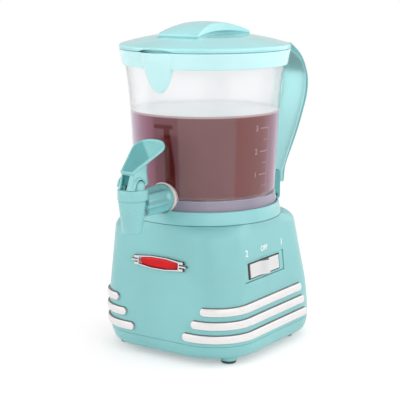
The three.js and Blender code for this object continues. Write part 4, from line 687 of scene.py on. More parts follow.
WING, WING_TOP, BUTTON_LOW, BUTTON_HALF = 24.2, 0.3, -6.6, 6.5
RIB_HALF, RIB_RISE, RIB_STEPS = 8.5, 4.3, 16
profile = [(-WING, BUTTON_LOW), (-WING, WING_TOP)]
for k in range(RIB_STEPS + 1):
    x = mix(-RIB_HALF, RIB_HALF, k / RIB_STEPS)
    profile.append((x, WING_TOP + RIB_RISE * cos(pi / 2 * x / RIB_HALF) ** 2))
right_end = len(profile)
profile += [(WING, WING_TOP), (WING, BUTTON_LOW), (12, -9), (-12, -9)]
# The rocker's wing ends and rounded edges take the darker grey as painted shade
button = Mold().slab(profile, lambda a, b, c: on_switch(a, c, b), -BUTTON_HALF, BUTTON_HALF,
                     lambda i, j: 1 if j in (0, right_end) else 0).object("rocker_cap", [rocker, rocker_shade])
settle(round_edges(button, 0.5, 3, 35, 1), "rocker", "rocker_button")

LETTER_LIFT, LETTER_DEPTH = 0.05, 0.06


def letters(text, name, size, mat, body, put):
    """Raised marks on a face: put gives the place of (along, up, outward)."""
    data = bpy.data.curves.new(name, "FONT")
    data.body = text
    data.size = size * MM
    data.align_x = data.align_y = "CENTER"
    data.extrude = LETTER_DEPTH * MM
    data.offset = 0.02 * size * MM
    drawn = in_scene(name, data)
    bpy.context.view_layer.update()
    mesh = bpy.data.meshes.new_from_object(drawn)
    bpy.data.objects.remove(drawn)
    axes = ((0, 0, 0), (1, 0, 0), (0, 1, 0), (0, 0, 1))
    origin, right, rise, out = (Vector(put(a, b, c + LETTER_LIFT)) for a, b, c in axes)
    turn = Matrix((right - origin, rise - origin, out - origin)).transposed().to_4x4()
    mesh.transform(Matrix.Translation(AXIS + origin * MM) @ turn)
    mesh.materials.clear()
    mesh.materials.append(mat)
    settle(in_scene(name, mesh), body, slot="rocker")


LABEL_HEIGHT = 96.6
for word, along, size in (("2", -33.5, 8.2), ("OFF", -5, 6.4), ("1", 24.5, 8.2)):
    on_side = face_frame(SIDE, SIDE_TOP, (1, 0, 0), along, LABEL_HEIGHT)
    letters(word, f"label_{word.lower()}", size, white_paint, "base", on_side)


# Jug
JUG_RADII = (63.1, 66.8, 72.4)
JUG_HOLLOW = 5.6 * 0.16
FOOT_RADIUS, FLOOR_LOW, FLOOR_HIGH, FOOT_TOP = 64.5, JUG_BASE + 4.9, JUG_BASE + 7.1, JUG_BASE + 12.6


def jug_radius(h):
    """The wall's outer radius over the jug's base: a straight cone, then one that is drawn in a little."""
    low, middle, top = JUG_RADII
    if h <= JUG_BREAK:
        return mix(low, middle, max((h - JUG_LOW) / (JUG_BREAK - JUG_LOW), 0))
    share = (h - JUG_BREAK) / (JUG_TOP - JUG_BREAK)
    return mix(middle, top, share) - JUG_HOLLOW * 4 * share * (1 - share)


wall_heights = [JUG_LOW, 22, 40, 60, 80] + [JUG_BREAK + k * (JUG_TOP - JUG_BREAK) / 9 for k in range(10)]
outside = [(jug_radius(h), JUG_BASE + h) for h in wall_heights]
inside = [(r - JUG_WALL, z) for r, z in outside]
shell = soft([
    (43, FLOOR_LOW, 0.3), (61.1, FLOOR_LOW, 0.6), (61.1, JUG_BASE, 0.5), (FOOT_RADIUS, JUG_BASE, 0.7),
    (FOOT_RADIUS, JUG_BASE + 7, 1.5), (*outside[0], 2), *outside[1:-1], (*outside[-1], 0.7),
    (*inside[-1], 0.7), *inside[-2:0:-1], (60.9, JUG_BASE + 13, 2), (58.9, FLOOR_HIGH, 2),
    (43, FLOOR_HIGH, 0.3),
], 4, True)
jug = Mold().lathe(shell, 192, mark=lambda i, j: 1 if shell[i][1] < FOOT_TOP else 0, loop=True)
settle(jug.object("jug_wall", [clear, clear_foot]), "jug", "jug_shell")

# Pale lilac rings inside the foot brighten what shows through the clear foot: painted light where the drink
# blocks the light
light_rings = Mold()
for line in (
    [(57.4, 128.7), (60.7, 128.7, 0.5), (60.7, 133.0), (57.4, 133.0)],
    [(52, JUG_BASE + 7.3), (58.5, JUG_BASE + 7.3, 0.6), (60.5, JUG_BASE + 13.4), (52, JUG_BASE + 13.4)],
):
    light_rings.lathe(soft(line, 3, True), 128, loop=True)
settle(light_rings.object("foot_painted_light", [lilac]), "jug", slot="rubber")

# Drink: it wets the wall, and its surface has a froth edge
DRINK_TOP, WET = 215.3, 0.15
edge = jug_radius(JUG_BREAK) - JUG_WALL
drink_line = [(0.01, JUG_BASE + 13.7), (58, JUG_BASE + 13.8), (60.6, JUG_BASE + 14.6)]
drink_line += [(jug_radius(h) - JUG_WALL + WET, JUG_BASE + h) for h in (17, 20, 30, 45, 60, 75, 82)]
drink_line.append((edge + WET, DRINK_TOP - 0.8))
surface = len(drink_line)
drink_line += [
    (edge + WET, DRINK_TOP + 0.5), (edge - 0.6, DRINK_TOP + 0.1), (edge - 2, DRINK_TOP - 0.3),
    (edge - 5, DRINK_TOP - 0.5), (0.01, DRINK_TOP - 0.5),
]
cocoa = Mold().lathe(drink_line, 160, mark=lambda i, j: 1 if i >= surface else 0)
settle(cocoa.object("cocoa", [drink, froth]), "jug", slot="brown")


# Scale on the wall: lines with plain numbers, at an angle from the X axis
def on_wall(angle, z, out):
    r = jug_radius(z - JUG_BASE) + out
    return (r * cos(radians(angle)), r * sin(radians(angle)), z)


SCALE_TOP, SCALE_STEP, PAINT = 203.3, 10.2, 0.12
scale = Mold()
for k in range(6):
    z = SCALE_TOP - k * SCALE_STEP
    start, half = (-9, 0.45) if k % 2 == 0 else (-5.5, 0.3)
    turns = [mix(start, 0, t / 6) for t in range(7)]
    rows = [[on_wall(turn, z + h, out) for h, out in box(-half, 0, half, PAINT)] for turn in turns]
    scale.skin(rows, start=True, end=True)
heights = [mix(SCALE_TOP - 5.4 * SCALE_STEP, SCALE_TOP + 3, t / 12) for t in range(13)]
rows = [[on_wall(0.5 + turn, z, out) for turn, out in box(0, 0, 0.6, PAINT)] for z in heights]
scale.skin(rows, start=True, end=True)
settle(scale.object("scale_lines", [mark_paint]), "jug", slot="rocker")
DIGIT_TURN = 13
DIGIT_WAY = Vector((sin(radians(DIGIT_TURN)), cos(radians(DIGIT_TURN)), 0))
for k, number in enumerate("321"):
    z = SCALE_TOP - 2 * k * SCALE_STEP
    letters(number, f"scale_{number}", 7, mark_paint, "jug",
            lambda a, b, c: Vector(on_wall(-DIGIT_TURN, z + b, c)) + DIGIT_WAY * a)

# Pouring collar: flared ring that runs out into a V spout
SPOUT_LOW = JUG_BASE + 106.2
SPOUT_HALF, SPOUT_HALF_TOP = 16.6, 18.5
SPOUT_REACH, SPOUT_REACH_TOP = 6.2, 9.2


def round_jug(z):
    """The radius that clears the jug's wall at a height."""
    return jug_radius(min(z - JUG_BASE, JUG_TOP)) + GAP


def spout_radius(angle, z, wall):
    """How far out the spout's face lies at an angle from the front, or 0 where there is none."""
    if z <= SPOUT_LOW:
        return 0.0
    rise = (z - SPOUT_LOW) / (RIM_LOW - SPOUT_LOW)
    above = clamp((z - RIM_LOW) / (RIM_TOP - RIM_LOW))
    half = (SPOUT_HALF * rise ** 0.47 if rise < 1 else mix(SPOUT_HALF, SPOUT_HALF_TOP, above)) - wall
    bulge = (SPOUT_REACH * rise ** 0.75 if rise < 1 else mix(SPOUT_REACH, SPOUT_REACH_TOP, above)) - wall
    base = round_jug(z)
    across_share = abs(sin(angle)) * (base + bulge) / max(half, 0.01)
    if half <= 0 or across_share >= 1 or cos(angle) < 0:
        return 0.0
    return base + bulge * (1 - across_share ** 2.2) ** 0.75


def blend_up(a, b, width=1.2):
    h = clamp(0.5 + 0.5 * (a - b) / width)
    return mix(b, a, h) + width * h * (1 - h) * 0.5


def collar_outer(angle, z):
    ring = mix(RIM_BOTTOM, RIM, clamp((z - RIM_LOW) / (RIM_TOP - RIM_LOW)))
    beak = spout_radius(angle, z, 0)
    if z < RIM_LOW:
        return beak
    return blend_up(beak, ring) if beak else ring


BEAK_WALL, BEAK_OPENS = 1.5, 108
MOUTH_LOW, MOUTH_RADIUS, MOUTH_RADIUS_TOP, MOUTH_RISE = 134.4, 73.2, 74.3, 6.6


def collar_inner(angle, z):
    h = z - JUG_BASE
    ring = round_jug(z)
    if h >= MOUTH_LOW:
        ring = mix(MOUTH_RADIUS, MOUTH_RADIUS_TOP, clamp((h - MOUTH_LOW) / MOUTH_RISE))
    return max(ring, spout_radius(angle, z, BEAK_WALL) if h > BEAK_OPENS else 0)


def collar_low(angle):
    """The height at which the spout's face leaves the jug's wall."""
    z = RIM_LOW
    while z > SPOUT_LOW and spout_radius(angle, z - 0.25, 0) >= round_jug(z - 0.25) + 0.02:
        z -= 0.25
    return z + 0.01


FRONT_TURN, LIP, COLLAR_STEPS, MOUTH_STEPS = 16, 0.7, 26, 13
front_angles = [radians(-FRONT_TURN + 2 * FRONT_TURN * k / 120) for k in range(121)]
rest_angles = [radians(FRONT_TURN + (360 - 2 * FRONT_TURN) * k / 150) for k in range(1, 150)]
columns = []
for angle in front_angles + rest_angles:
    low = collar_low(angle) if abs(angle) < radians(FRONT_TURN + 0.5) else RIM_LOW
    rows = []
    for k in range(COLLAR_STEPS + 1):
        z = mix(low, RIM_TOP - LIP, k / COLLAR_STEPS)
        r = collar_outer(angle, z)
        if k == 0 and low == RIM_LOW:
            r -= 0.35
        rows.append((max(r, round_jug(z)), z))
    top_outer, top_inner = rows[-1][0], collar_inner(angle, RIM_TOP)
    for k in range(1, 4):
        t = k / 4 * pi / 2
        rows.append((top_outer - LIP * (1 - cos(t)), RIM_TOP - LIP * (1 - sin(t))))
    rows.append((top_outer - LIP, RIM_TOP))
    rows.append((min(top_inner + 0.3, top_outer - LIP), RIM_TOP))
    for k in range(MOUTH_STEPS + 1):
        z = mix(RIM_TOP - 0.4, low, k / MOUTH_STEPS)
        r = collar_inner(angle, z)
        rows.append((min(r, collar_outer(angle, z) - 0.02) if z > low else r, z))
    columns.append([(r * sin(angle), -r * cos(angle), z) for r, z in rows])
rings = list(zip(*columns))
collar = Mold().skin(rings + [rings[0]])
ledge = [(69.5, 262.6, 0.3), (72.8, 262.6), (73.4, 264.4), (69.5, 264.4, 0.4)]
collar.lathe(soft(ledge, 3, True), 128, loop=True)
settle(collar.object("collar", [pale], 50), "jug", "pouring_collar")


# Lid: flange, cone and a grip ridge with two concave sides
CONE_TOP, DOME_RADIUS, DOME_RISE, DOME_EDGE = 10.6, 45.5, 12.6, 3.4


def dome_height(r):
    share = clamp(r / DOME_RADIUS)
    return CONE_TOP + DOME_EDGE + (DOME_RISE - DOME_EDGE) * (1 - share * share)


def over_rim(line, steps):
    return [(r, h + LID_LOW) for r, h in soft(line, steps)]


lid = Mold()
lid.lathe(over_rim([
    (70.3, 2, 0.4), (70.3, -4, 0.4), (71.4, -4.9, 0.5), (69.4, -5, 0.5), (69.4, 1.4, 1),
    (61, 6.2, 4), (47, 8.4, 3), (40, 8.6), (0.01, 8.6),
], 4), 160)
# The flange takes the half-shaded copy of the lid's aqua as painted shade
lid.lathe(over_rim([
    (70.3, 0.05), (76.0, 0.05, 0.3), (76.2, 0.4, 0.3), (76.2, 3, 0.9), (75.2, 4, 0.9), (60.85, 7.9, 6),
    (47.2, CONE_TOP, 2.5), (44, CONE_TOP), (0.01, CONE_TOP),
], 5), 192, mark=lambda i, j: 2 if i < 13 else 0)

# The flange's underside is hollowed over the spout
HOLLOW_HALF, HOLLOW_RISE = 18, 2.1
for k, (x, y, z) in enumerate(lid.points):
    if y < -60 and abs(x) < HOLLOW_HALF and LID_LOW < z < LID_LOW + 1 and hypot(x, y) > 70.2:
        lid.points[k] = (x, y, z + HOLLOW_RISE * (1 - (x / HOLLOW_HALF) ** 2) ** 0.7)

# The ridge's outline: two hollow sides, and ends that follow the dome's circle
WAIST, FLARE, SIDE_END, SIDE_STEPS, END_STEPS = 17, 5, 42.1, 40, 14
arc_radius = (DOME_RADIUS ** 2 + FLARE ** 2) / (2 * FLARE)
ridge_side = []
for k in range(SIDE_STEPS + 1):
    y = mix(-SIDE_END, SIDE_END, k / SIDE_STEPS)
    ridge_side.append((WAIST + arc_radius - sqrt(arc_radius ** 2 - y * y), y))
end_x, end_y = ridge_side[-1]
first = atan2(end_y, end_x)
ridge_end = []
for k in range(1, END_STEPS):
    angle = mix(first, pi - first, k / END_STEPS)
    r = mix(hypot(end_x, end_y), DOME_RADIUS, smooth(min(k, END_STEPS - k) / 3))
    ridge_end.append((r * cos(angle), r * sin(angle)))
outline = ridge_side + ridge_end + [(-x, y) for x, y in reversed(ridge_side)]
outline += [(-x, -y) for x, y in ridge_end]
outline = soft([(x, y, 2.0) for x, y in outline], 1, True)


def ridge_ring(rise, grow, scoop):
    """A ring up the ridge's side: scoop counts only where the side is tall, and undercuts the grips."""
    out = []
    for x, y in outline:
        r = hypot(x, y)
        tall = smooth((dome_height(r) - CONE_TOP - 4.5) / 5)
        s = (r + grow + scoop * tall) / r
        out.append((x * s, y * s, LID_LOW + CONE_TOP + rise * (dome_height(r * s) - CONE_TOP)))
    return out


# How far up the side, how far out, and how far in the scoop goes
RIDGE_SIDE = [
    (-0.02, 1.3, 0), (0.01, 0.6, 0), (0.04, 0.25, -1.6), (0.1, 0.1, -2.2), (0.34, 0, -2.2), (0.39, 0, -1.8),
    (0.42, 0, 0.1), (0.46, 0, 0.3), (0.55, 0, 0.0), (0.68, 0, -0.8), (0.8, 0, -1.7), (0.9, -0.05, -2.6),
    (0.96, -0.2, -3.2), (0.99, -0.6, -3.7), (1.0, -1.2, -4.2),
]
rings = [ridge_ring(*step) for step in RIDGE_SIDE]
top_edge = rings[-1]
for share in (0.85, 0.7, 0.55, 0.4, 0.25, 0.12, 0.02):
    rings.append([(x * share, y * share, LID_LOW + dome_height(hypot(x, y) * share)) for x, y, _ in top_edge])
# The ridge's lower side takes the shaded copy and its middle the half-shaded copy: painted shade
lid.skin(rings, lambda i, j: 1 if 1 < i < 6 else 2 if 5 < i < 12 else 0, end=True)
settle(lid.object("lid_top", [lid_aqua, lid_shade, lid_half_shade], 50), "lid", "lid")


# Handle: a wide strap on a short leg, turned about the jug's axis
TURN = radians(-HANDLE_TURN)


def turned(x, y, z):
    return (x * cos(TURN) - y * sin(TURN), x * sin(TURN) + y * cos(TURN), z)


UPPER = [(0, 0), (0.4, 0.2), (0.67, 0.4), (0.89, 0.69), (1, 1)]
LOWER = [(0.96, 0.15), (0.81, 0.3), (0.58, 0.49), (0.36, 0.64), (0.13, 0.79), (0.04, 0.88)]
GRIP_TOP, GRIP_WIDE, GRIP_END = JUG_BASE + 143.6, JUG_BASE + 109, JUG_BASE + 15.6
OUT_TOP, OUT_WIDE, OUT_END = 83.5, 104, 77.2


def grip_line(inset, inset_top):
    line = []
    for a, b in UPPER:
        out, z = mix(OUT_TOP, OUT_WIDE, a) - inset * b, mix(GRIP_TOP, GRIP_WIDE, b) - inset_top * (1 - b)
        line.append((out, z))
    return line + [(mix(OUT_END, OUT_WIDE, a) - inset, mix(GRIP_WIDE, GRIP_END, b)) for a, b in LOWER]


def spline(points, steps):
    """A smooth curve through the points."""
    out = []
    for i in range(steps + 1):
        t = i / steps * (len(points) - 1)
        k = min(int(t), len(points) - 2)
        f = t - k
        p = [Vector(points[max(0, min(len(points) - 1, k + j))]) for j in (-1, 0, 1, 2)]
        q = 0.5 * ((2 * p[1]) + (p[2] - p[0]) * f + (2 * p[0] - 5 * p[1] + 4 * p[2] - p[3]) * f * f
                   + (3 * p[1] - p[0] - 3 * p[2] + p[3]) * f ** 3)
        out.append(q)
    return out


def even(points, steps):
    """The same line in steps of equal length."""
    lengths = [0.0]
    for a, b in zip(points, points[1:]):
        lengths.append(lengths[-1] + (b - a).length)
    out, k = [], 0
    for i in range(steps + 1):
        want = lengths[-1] * i / steps
        while k < len(lengths) - 2 and lengths[k + 1] < want:
            k += 1
        span = lengths[k + 1] - lengths[k] or 1
        out.append(points[k].lerp(points[k + 1], (want - lengths[k]) / span))
    return out


STRAP, STRAP_TOP, STATIONS, STRAP_CORNER = 4.4, 8, 110, 1.9
STEP_OUT, STEP_HEIGHT = 73.2, 153.1
outer_line = [Vector((RIM + GAP, GRIP_TOP))] + spline(grip_line(0, 0) + [(OUT_END, GRIP_END)], 90)
hollow = [(out, z) for out, z in grip_line(STRAP, STRAP_TOP) if out > 77.6 and z > STEP_HEIGHT + 0.1]
inner_line = [Vector((RIM + GAP, GRIP_TOP - STRAP_TOP))] + spline(hollow + [(STEP_OUT, STEP_HEIGHT)], 84)
inner_line.append(Vector((STEP_OUT, GRIP_END)))
rings = []
for i, (outer, inner) in enumerate(zip(even(outer_line, STATIONS), even(inner_line, STATIONS))):
    thick = max((outer - inner).length, 0.5)
    pull = 1 - 0.25 * max(0, 1 - min(i, STATIONS - i) / 3) ** 2
    ring = []
    for x, d in soft(box(-HANDLE_HALF, 0, HANDLE_HALF, thick, STRAP_CORNER), 5, True):
        p = inner.lerp(outer, clamp(mix(0.5, d / thick, pull)))
        ring.append(turned(x, p.x, p.y))
    rings.append(ring)
# The strap's inner face takes the lighter copy and its sides and outer face the darker one: painted light and
# shade
grip = Mold().skin(rings, lambda i, j: 0 if j <= 10 or (j == 17 and i > 30) else 1, start=True, end=True)
settle(grip.object("grip", [handle_lit, handle_shade], 60), "jug", "handle_grip")

LEG_LOW, LEG_HIGH, LEG_OUT, LEG_STEPS = JUG_BASE + 0.4, JUG_BASE + 27, 72.9, 12
LEG_BACK = [(HANDLE_HALF, 1.2), (17.1, 0.3), (16.2, 0), (8, 0), (0, 0)]
UNDER_SEAT, UNDER_OUT = 134.2, 69.5
rings = []
for k in range(LEG_STEPS + 1):
    z = mix(LEG_LOW, LEG_HIGH, k / LEG_STEPS)
    h = z - JUG_BASE
    inner_r = (FOOT_RADIUS if h < 7 else jug_radius(max(h, JUG_LOW)) + max(0, JUG_LOW - h) * 0.165) + GAP
    out_y = LEG_OUT - (0.9 if k in (0, LEG_STEPS) else 0)
    ring = []
    for j in range(15):
        x = mix(-HANDLE_HALF, HANDLE_HALF, j / 14)
        ring.append((x, sqrt(inner_r ** 2 - x * x) if z > UNDER_SEAT else UNDER_OUT))
    ring += [(x, out_y - step) for x, step in LEG_BACK]
    ring += [(-x, out_y - step) for x, step in LEG_BACK[-2::-1]]
    rings.append([turned(x, y, z) for x, y in ring])
# The leg takes the darker aqua as painted shade
leg = Mold().skin(rings, start=True, end=True).object("leg", [leg_shade], 40)
settle(round_edges(leg, 0.5, 2, 50), "jug", "handle_leg")

# Tap: gasket, fluted sleeve nut, band and spout
GASKET, SADDLE = 1.5, jug_radius(TAP_RISE) + GAP
FLAT_SIDE = ((5.7, 0), (12.5, 0), (13.2, 0.15), (13.4, 0.5))
JUG_SIDE = ((13.4, -0.1), (13.2, 0.2), (13.2, 3.2), (5.7, 3.2))


def round_tap(radius, segments=96):
    turns = (2 * pi * i / segments for i in range(segments))
    return [(radius * cos(t), TAP_HEIGHT + radius * sin(t)) for t in turns]


rings = [[(x, step - SADDLE - GASKET, z) for x, z in round_tap(r)] for r, step in FLAT_SIDE]
rings += [[(x, step - sqrt(SADDLE ** 2 - x * x), z) for x, z in round_tap(r)] for r, step in JUG_SIDE]
settle(Mold().skin(rings + [rings[0]]).object("gasket", [cream], 50), "jug", "tap_gasket")

NUT_NEAR = -SADDLE - GASKET - GAP
NUT_RADIUS, NUT_LENGTH, NUT_BORE, NUT_SEGMENTS = 12.7, 28, 0.45, 240
FLUTES, FLUTE_DEPTH, RIDGE, FLUTE_TURN = 8, 1.9, 0.2, radians(17)
BAND_RADIUS = 13.4


def flute_at(angle):
    pitch = 2 * pi / FLUTES
    half = pitch * (1 - RIDGE) / 2
    d = abs((angle - FLUTE_TURN + pitch / 2) % pitch - pitch / 2)
    return FLUTE_DEPTH * (1 - (d / half) ** 2) ** 1.1 if d < half else 0.0


rings = []
for share in reversed([0, 0.008, 0.02] + [0.04 + 0.96 * k / 40 for k in range(41)]):
    ring = []
    from_jug = share * NUT_LENGTH
    for i in range(NUT_SEGMENTS):
        angle = 2 * pi * i / NUT_SEGMENTS
        r = NUT_RADIUS - flute_at(angle) * smooth((from_jug - 2.6) / 4.5)
        if share < 0.02:
            r -= 0.5 * (1 - share / 0.02) ** 2
        if 1.6 < from_jug < 2.8:
            r -= 0.18
        x, z = r * cos(angle), TAP_HEIGHT + r * sin(angle)
        far = -TAP_REACH + sqrt(max(0, BAND_RADIUS ** 2 - x * x))
        ring.append((x, mix(NUT_NEAR, far, share), z))
    rings.append(ring)
rings.insert(0, [(x * NUT_BORE, y, mix(TAP_HEIGHT, z, NUT_BORE)) for x, y, z in rings[0]])
rings.append([(x * NUT_BORE, NUT_NEAR, mix(TAP_HEIGHT, z, NUT_BORE)) for x, y, z in rings[-1]])
settle(Mold().skin(rings + [rings[0]]).object("nut", [aqua_nut], 50), "jug", "tap_nut")

OUTLET, BAND_LOW = TAP_HEIGHT - 22.8, BAND_TOP - 9.2
SEAT_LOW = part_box("valve_seal")[1].z / MM + 0.05
tap = Mold()
tap.lathe(soft([
    (8.4, BAND_LOW + 1), (11.2, BAND_LOW + 1), (11.2, BAND_LOW - 0.5, 0.2), (11.8, BAND_LOW - 0.9, 0.3),
    (8.4, OUTLET, 0.9), (7.0, OUTLET, 0.5), (7.2, OUTLET + 3), (8.2, OUTLET + 8), (8.4, OUTLET + 14),
], 4, True), 96, across("z", 0, -TAP_REACH - 1.2), loop=True)
tap.lathe(soft([
    (8.1, BAND_LOW), (13.1, BAND_LOW, 0.9), (13.1, BAND_TOP, 0.9), (8.9, BAND_TOP, 0.4),
    (8.9, BAND_TOP - 2.7), (4.8, BAND_TOP - 2.7), (4.8, SEAT_LOW, 0.4), (8.1, SEAT_LOW),
], 4, True), 128, across("z", 0, -TAP_REACH), loop=True)
pipe = [(3.4, -50.5), (5.4, -50.5), (5.4, -TAP_REACH + 4), (3.4, -TAP_REACH + 4)]
tap.lathe(pipe, 48, across("y", 0, 0, TAP_HEIGHT), loop=True)
settle(tap.object("tap", [aqua_tap], 40), "jug", "tap_body")

cap = [(2.2, BAND_TOP - 2.4), (8.6, BAND_TOP - 2.4), (8.6, BAND_TOP, 0.5), (2.2, BAND_TOP, 0.3)]
trunnion = [(0.01, 3.3), (5.4, 3.3, 0.4), (5.4, 8.6, 0.5)]
trunnion += [(5.4 * cos(k * pi / 20), 8.8 + 3.2 * sin(k * pi / 20)) for k in range(10)] + [(0.01, 12.0)]
bonnet = Mold().lathe(soft(cap, 3, True), 96, across("z", 0, -TAP_REACH), loop=True)
for hand in (-1, 1):
    bonnet.lathe(soft(trunnion), 64, lambda a, b, c: (hand * c, PIVOT_Y + a, PIVOT_Z + b))
    ear = box(hand * 3.3, PIVOT_Y - 2.7, hand * 5.2, PIVOT_Y + 2.7)
    bonnet.slab(ear, across("z"), BAND_TOP - 1, PIVOT_Z + 2.7)
settle(bonnet.object("bonnet", [aqua_tap], 50), "jug", "tap_bonnet")

# Lever: snap-on hood, its window, and a dished paddle
RISE, UNDER_RISE = radians(30), radians(16)
HOOD_LOW, HOOD_WALL, HOOD_STEPS = GAP - 2.2, 1.9, 12
HOOD_FRONT, HOOD_FRONT_TOP, HOOD_BACK = -9.6, -4.9, 13.2
HOOD_HALF, HOOD_HALF_TOP = 8.9, 7.2

hood_line = []
corners = soft(box(-1, 0, 1, 1, 0.24), 8, True)
for k, (a, b) in enumerate(corners):
    c, d = corners[(k + 1) % len(corners)]
    hood_line.append((a, b))
    if hypot(c - a, d - b) > 0.3:
        hood_line.extend((mix(a, c, j / 10), mix(b, d, j / 10)) for j in range(1, 10))


def hood_ring(t, wall=0.0):
    """A ring of the hood between its lower edge and its slanting roof. Both rise towards the jug."""
    out = []
    for a, b in hood_line:
        y = mix(mix(HOOD_FRONT, HOOD_FRONT_TOP, t) + wall, HOOD_BACK - wall, b)
        low = HOOD_LOW + max(0, y - GAP) * tan(UNDER_RISE)
        z = mix(low, 11.7 + (y - HOOD_FRONT_TOP) * tan(RISE), t)
        half = mix(HOOD_HALF, HOOD_HALF_TOP, clamp((z - HOOD_LOW) / (12 - HOOD_LOW))) - wall
        out.append((a * half, y + PIVOT_Y, z + PIVOT_Z))
    return out


def upright(a, b, c):
    return (a, c, b)


rings = [hood_ring(k / HOOD_STEPS) for k in range(HOOD_STEPS + 1)]
rings += [hood_ring(k / HOOD_STEPS, HOOD_WALL) for k in reversed(range(HOOD_STEPS + 1))]
# The hood's inner faces take the dark teal as painted shade
hood = Mold().skin(rings + [rings[0]], lambda i, j: 1 if i > HOOD_STEPS else 0)
hood = hood.object("hood", [aqua_tap, aqua_shade], 40)
pane = [(x - 1.6, PIVOT_Z + h) for x, h in ((-3.4, -6), (3.0, -6), (4.0, 10.1), (-4.0, 10.1))]
carve(hood, [
    Mold().lathe(box(0, -20, 6.4, 20), 96, across("x", 0, PIVOT_Y, PIVOT_Z)).object(),
    Mold().slab(pane, upright, PIVOT_Y - 14, PIVOT_Y).object(),
], 40)
settle(round_edges(hood, 0.4, 3, 45), "lever", "tap_lever")

arches = Mold()
section = soft([(6.5, 7.6), (8.3, 7.6), (8.3, 9.3, 0.5), (6.5, 9.7, 0.6)], 3, True)
for hand in (-1, 1):
    turns = [mix(0.28, pi, k / 32) for k in range(33)]
    rings = [[(hand * x, PIVOT_Y + r * cos(t), PIVOT_Z + r * sin(t)) for r, x in section] for t in turns]
    arches.skin(rings, start=True, end=True)
settle(arches.object("hood_arches", [aqua_tap], 50), "lever", slot="aqua")
# A dark teal plate behind the window: painted shade inside the hood
shade_sheet = [(-6.2, 1.2), (5.6, 1.2), (5.2, 10.8), (-5.4, 10.8)]
shade_sheet = Mold().slab(shade_sheet, lambda a, b, c: (a, PIVOT_Y + c - (11 - b) * 0.25, PIVOT_Z + b), -3.2, -2.2)
settle(round_edges(shade_sheet.object("hood_shade_sheet", [aqua_shade]), 0.3, 2), "lever", slot="aqua")

# Paddle: a dished plate with a raised rim and a slanting crease. Its face is darker as painted shade, and
# past the crease paler as a painted reflection
PADDLE_Y, PADDLE_Z, PADDLE_END, CREASE = PIVOT_Y - 6.1, PIVOT_Z + 10.5, 46.3, 31.5
half_line = spline([
    (6.3, 0.0), (9.0, 10), (11.8, 20), (14.4, 29.4), (15.4, 33.5), (15.4, 36.8), (14.3, 40), (12.1, 42.7),
    (8.9, 44.8), (4.7, 46.0), (0, PADDLE_END),
], 60)[:-1]
paddle_line = [(p.x, p.y) for p in half_line] + [(0, PADDLE_END)] + [(-p.x, p.y) for p in reversed(half_line)]
paddle_line = soft([(a, b, 1.6 if b < 0.2 else 0) for a, b in paddle_line], 5, True)
normals = []
for k in range(len(paddle_line)):
    before, after = Vector(paddle_line[k - 1]), Vector(paddle_line[(k + 1) % len(paddle_line)])
    way = (after - before).normalized()
    normals.append((way.y, -way.x))


def inset_line(inset):
    return [(a - n[0] * inset, b - n[1] * inset) for (a, b), n in zip(paddle_line, normals)]


def on_paddle(a, b, c):
    return (a, PADDLE_Y + b * cos(RISE) - c * sin(RISE), PADDLE_Z + b * sin(RISE) + c * cos(RISE))


def dish(share):
    ring = []
    for a, b in inset_line(2.3):
        a, b = a * share, 24 + (b - 24) * share
        floor = 1.9 - smooth((1 - share) / 0.45)
        ring.append(on_paddle(a, b, mix(floor, 2.1, clamp((a + b - CREASE) / 9))))
    return ring


rings = [[on_paddle((a - n[0]) * 0.3, 22 + (b - 22) * 0.3, 0.0) for (a, b), n in zip(paddle_line, normals)]]
for inset, height in (
    (0.9, 0.0), (0.35, 0.15), (0.05, 0.6), (0, 1.2), (0, 2.2), (0.12, 2.65), (0.45, 2.95), (0.85, 3.0),
    (1.25, 2.9), (1.6, 2.55), (1.95, 2.15), (2.3, 1.95),
):
    rings.append([on_paddle(a, b, height) for a, b in inset_line(inset)])
face_from = len(rings) - 3
rings += [dish(share) for share in (0.97, 0.92, 0.86, 0.8, 0.72, 0.64, 0.56, 0.48, 0.4, 0.3, 0.2, 0.1, 0.02)]
paddle = Mold().skin(rings, lambda i, j: 1 if i >= face_from else 0, start=True, end=True)
settle(paddle.object("paddle", [aqua_tap, paddle_shade_and_sheen], 50), "lever", slot="aqua")

# Past the crease the face is painted paler: a painted reflection
tree = Tree(paddle_shade_and_sheen)
place = tree.add("TexCoord", "Object")
along = tree.add("VectorMath", "Value", {0: place, 1: (1, cos(RISE), sin(RISE))}, operation="DOT_PRODUCT")
start = AXIS * (1 / MM) + Vector(on_paddle(0, 0, 0))
crease = (start.x + start.y * cos(RISE) + start.z * sin(RISE) + CREASE) * MM
plain = tree.main.inputs["Base Color"].links[0].from_socket
painted_sheen = tree.mixed(tree.between(along, crease, 1.0, 2.5 * MM), plain, srgb(146, 214, 216))
tree.fill(tree.main, {"Base Color": painted_sheen})

# Camera, fitted to the photograph with the jug's axis as origin
CAMERA_AT, CAMERA_AZIMUTH, CAMERA_DOWN = (616.1, -905.5, 345.15), 34.23, 11.04
FOCAL_PIXELS, PHOTO, AXIS_COLUMN, SENSOR = 1226.15, 400, 204.96, 36
camera_data = bpy.data.cameras.new("camera")
camera = in_scene("camera", camera_data)
bpy.context.scene.camera = camera
camera.location = AXIS + Vector(CAMERA_AT) * MM
camera.rotation_euler = (radians(90 - CAMERA_DOWN), 0, radians(CAMERA_AZIMUTH))
camera_data.sensor_fit = "HORIZONTAL"
camera_data.sensor_width = SENSOR
camera_data.lens = FOCAL_PIXELS / PHOTO * SENSOR
camera_data.shift_x = (PHOTO / 2 - AXIS_COLUMN) / PHOTO


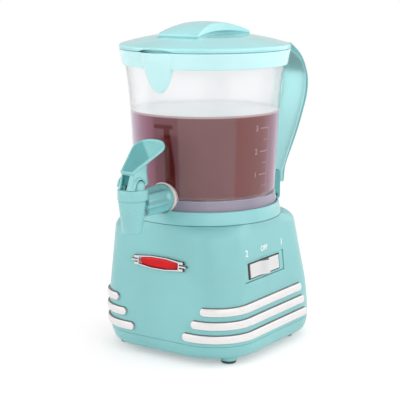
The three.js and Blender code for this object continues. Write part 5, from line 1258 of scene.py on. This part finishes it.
# Floor, lamps and world
def pale_floor():
    """Pale ground that takes a soft shadow near the machine and fades to white further out."""
    made = bpy.data.materials.new("floor")
    tree = Tree(made)
    tree.fill(tree.main, {"Base Color": (0.8, 0.8, 0.8), "Roughness": 0.9, "Specular IOR Level": 0.1})
    far = tree.add("VectorMath", "Value", {0: tree.add("TexCoord", "Object")}, operation="LENGTH")
    lit = tree.add("BsdfDiffuse", "BSDF", {"Color": (0.98, 0.92, 0.92)})
    near = tree.add("AddShader", "Shader", {0: lit, 1: tree.add("Emission", "Emission", {"Strength": 0.3})})
    seen = tree.blend(tree.ranged(far, 0, 1, 0.2, 0.5), near, tree.add("Emission", "Emission"))
    tree.show(tree.blend(tree.rays("Camera", "Transmission", "Glossy"), tree.main.outputs["BSDF"], seen))
    return made


floor_data = bpy.data.meshes.new("floor")
floor_data.from_pydata([(x, y, 0) for x, y in box(-3, -3, 3, 3)], [], [(0, 1, 2, 3)])
floor_data.materials.append(pale_floor())
in_scene("floor", floor_data)


def lamp(name, at, towards, size, power):
    data = bpy.data.lights.new(name, "AREA")
    data.size = size
    data.energy = power
    obj = in_scene(name, data)
    obj.location = at
    obj.rotation_euler = (Vector(towards) - Vector(at)).to_track_quat("-Z", "Y").to_euler()


lamp("key", (-1.1, -1.3, 0.45), (0, 0, 0.15), 2.2, 20)
lamp("side", (1.5, -0.55, 0.28), (0, 0, 0.15), 2.2, 19)
lamp("back", (0.9, 1.4, 0.8), (0, 0, 0.15), 2.0, 12)
lamp("top", (0.1, 0.3, 1.7), (0, 0, 0.1), 1.6, 5)

world = bpy.data.worlds.new("world")
bpy.context.scene.world = world
tree = Tree(world)
up = tree.add("SeparateXYZ", "Z", {"Vector": tree.add("TexCoord", "Generated")})
sky = tree.nodes["Background"]
levels = [(at, (level, level, level)) for at, level in ((0.0, 0.72), (0.35, 0.6), (1.0, 0.3))]
tree.fill(sky, {"Color": tree.ramp(up, levels), "Strength": 1.0})
white = tree.add("Background", "Background", {"Color": (1, 1, 1), "Strength": 1.0})
tree.show(tree.blend(tree.rays("Camera", "Transmission"), sky.outputs["Background"], white), "World Output")
bpy.context.scene.view_settings.view_transform = "Standard"
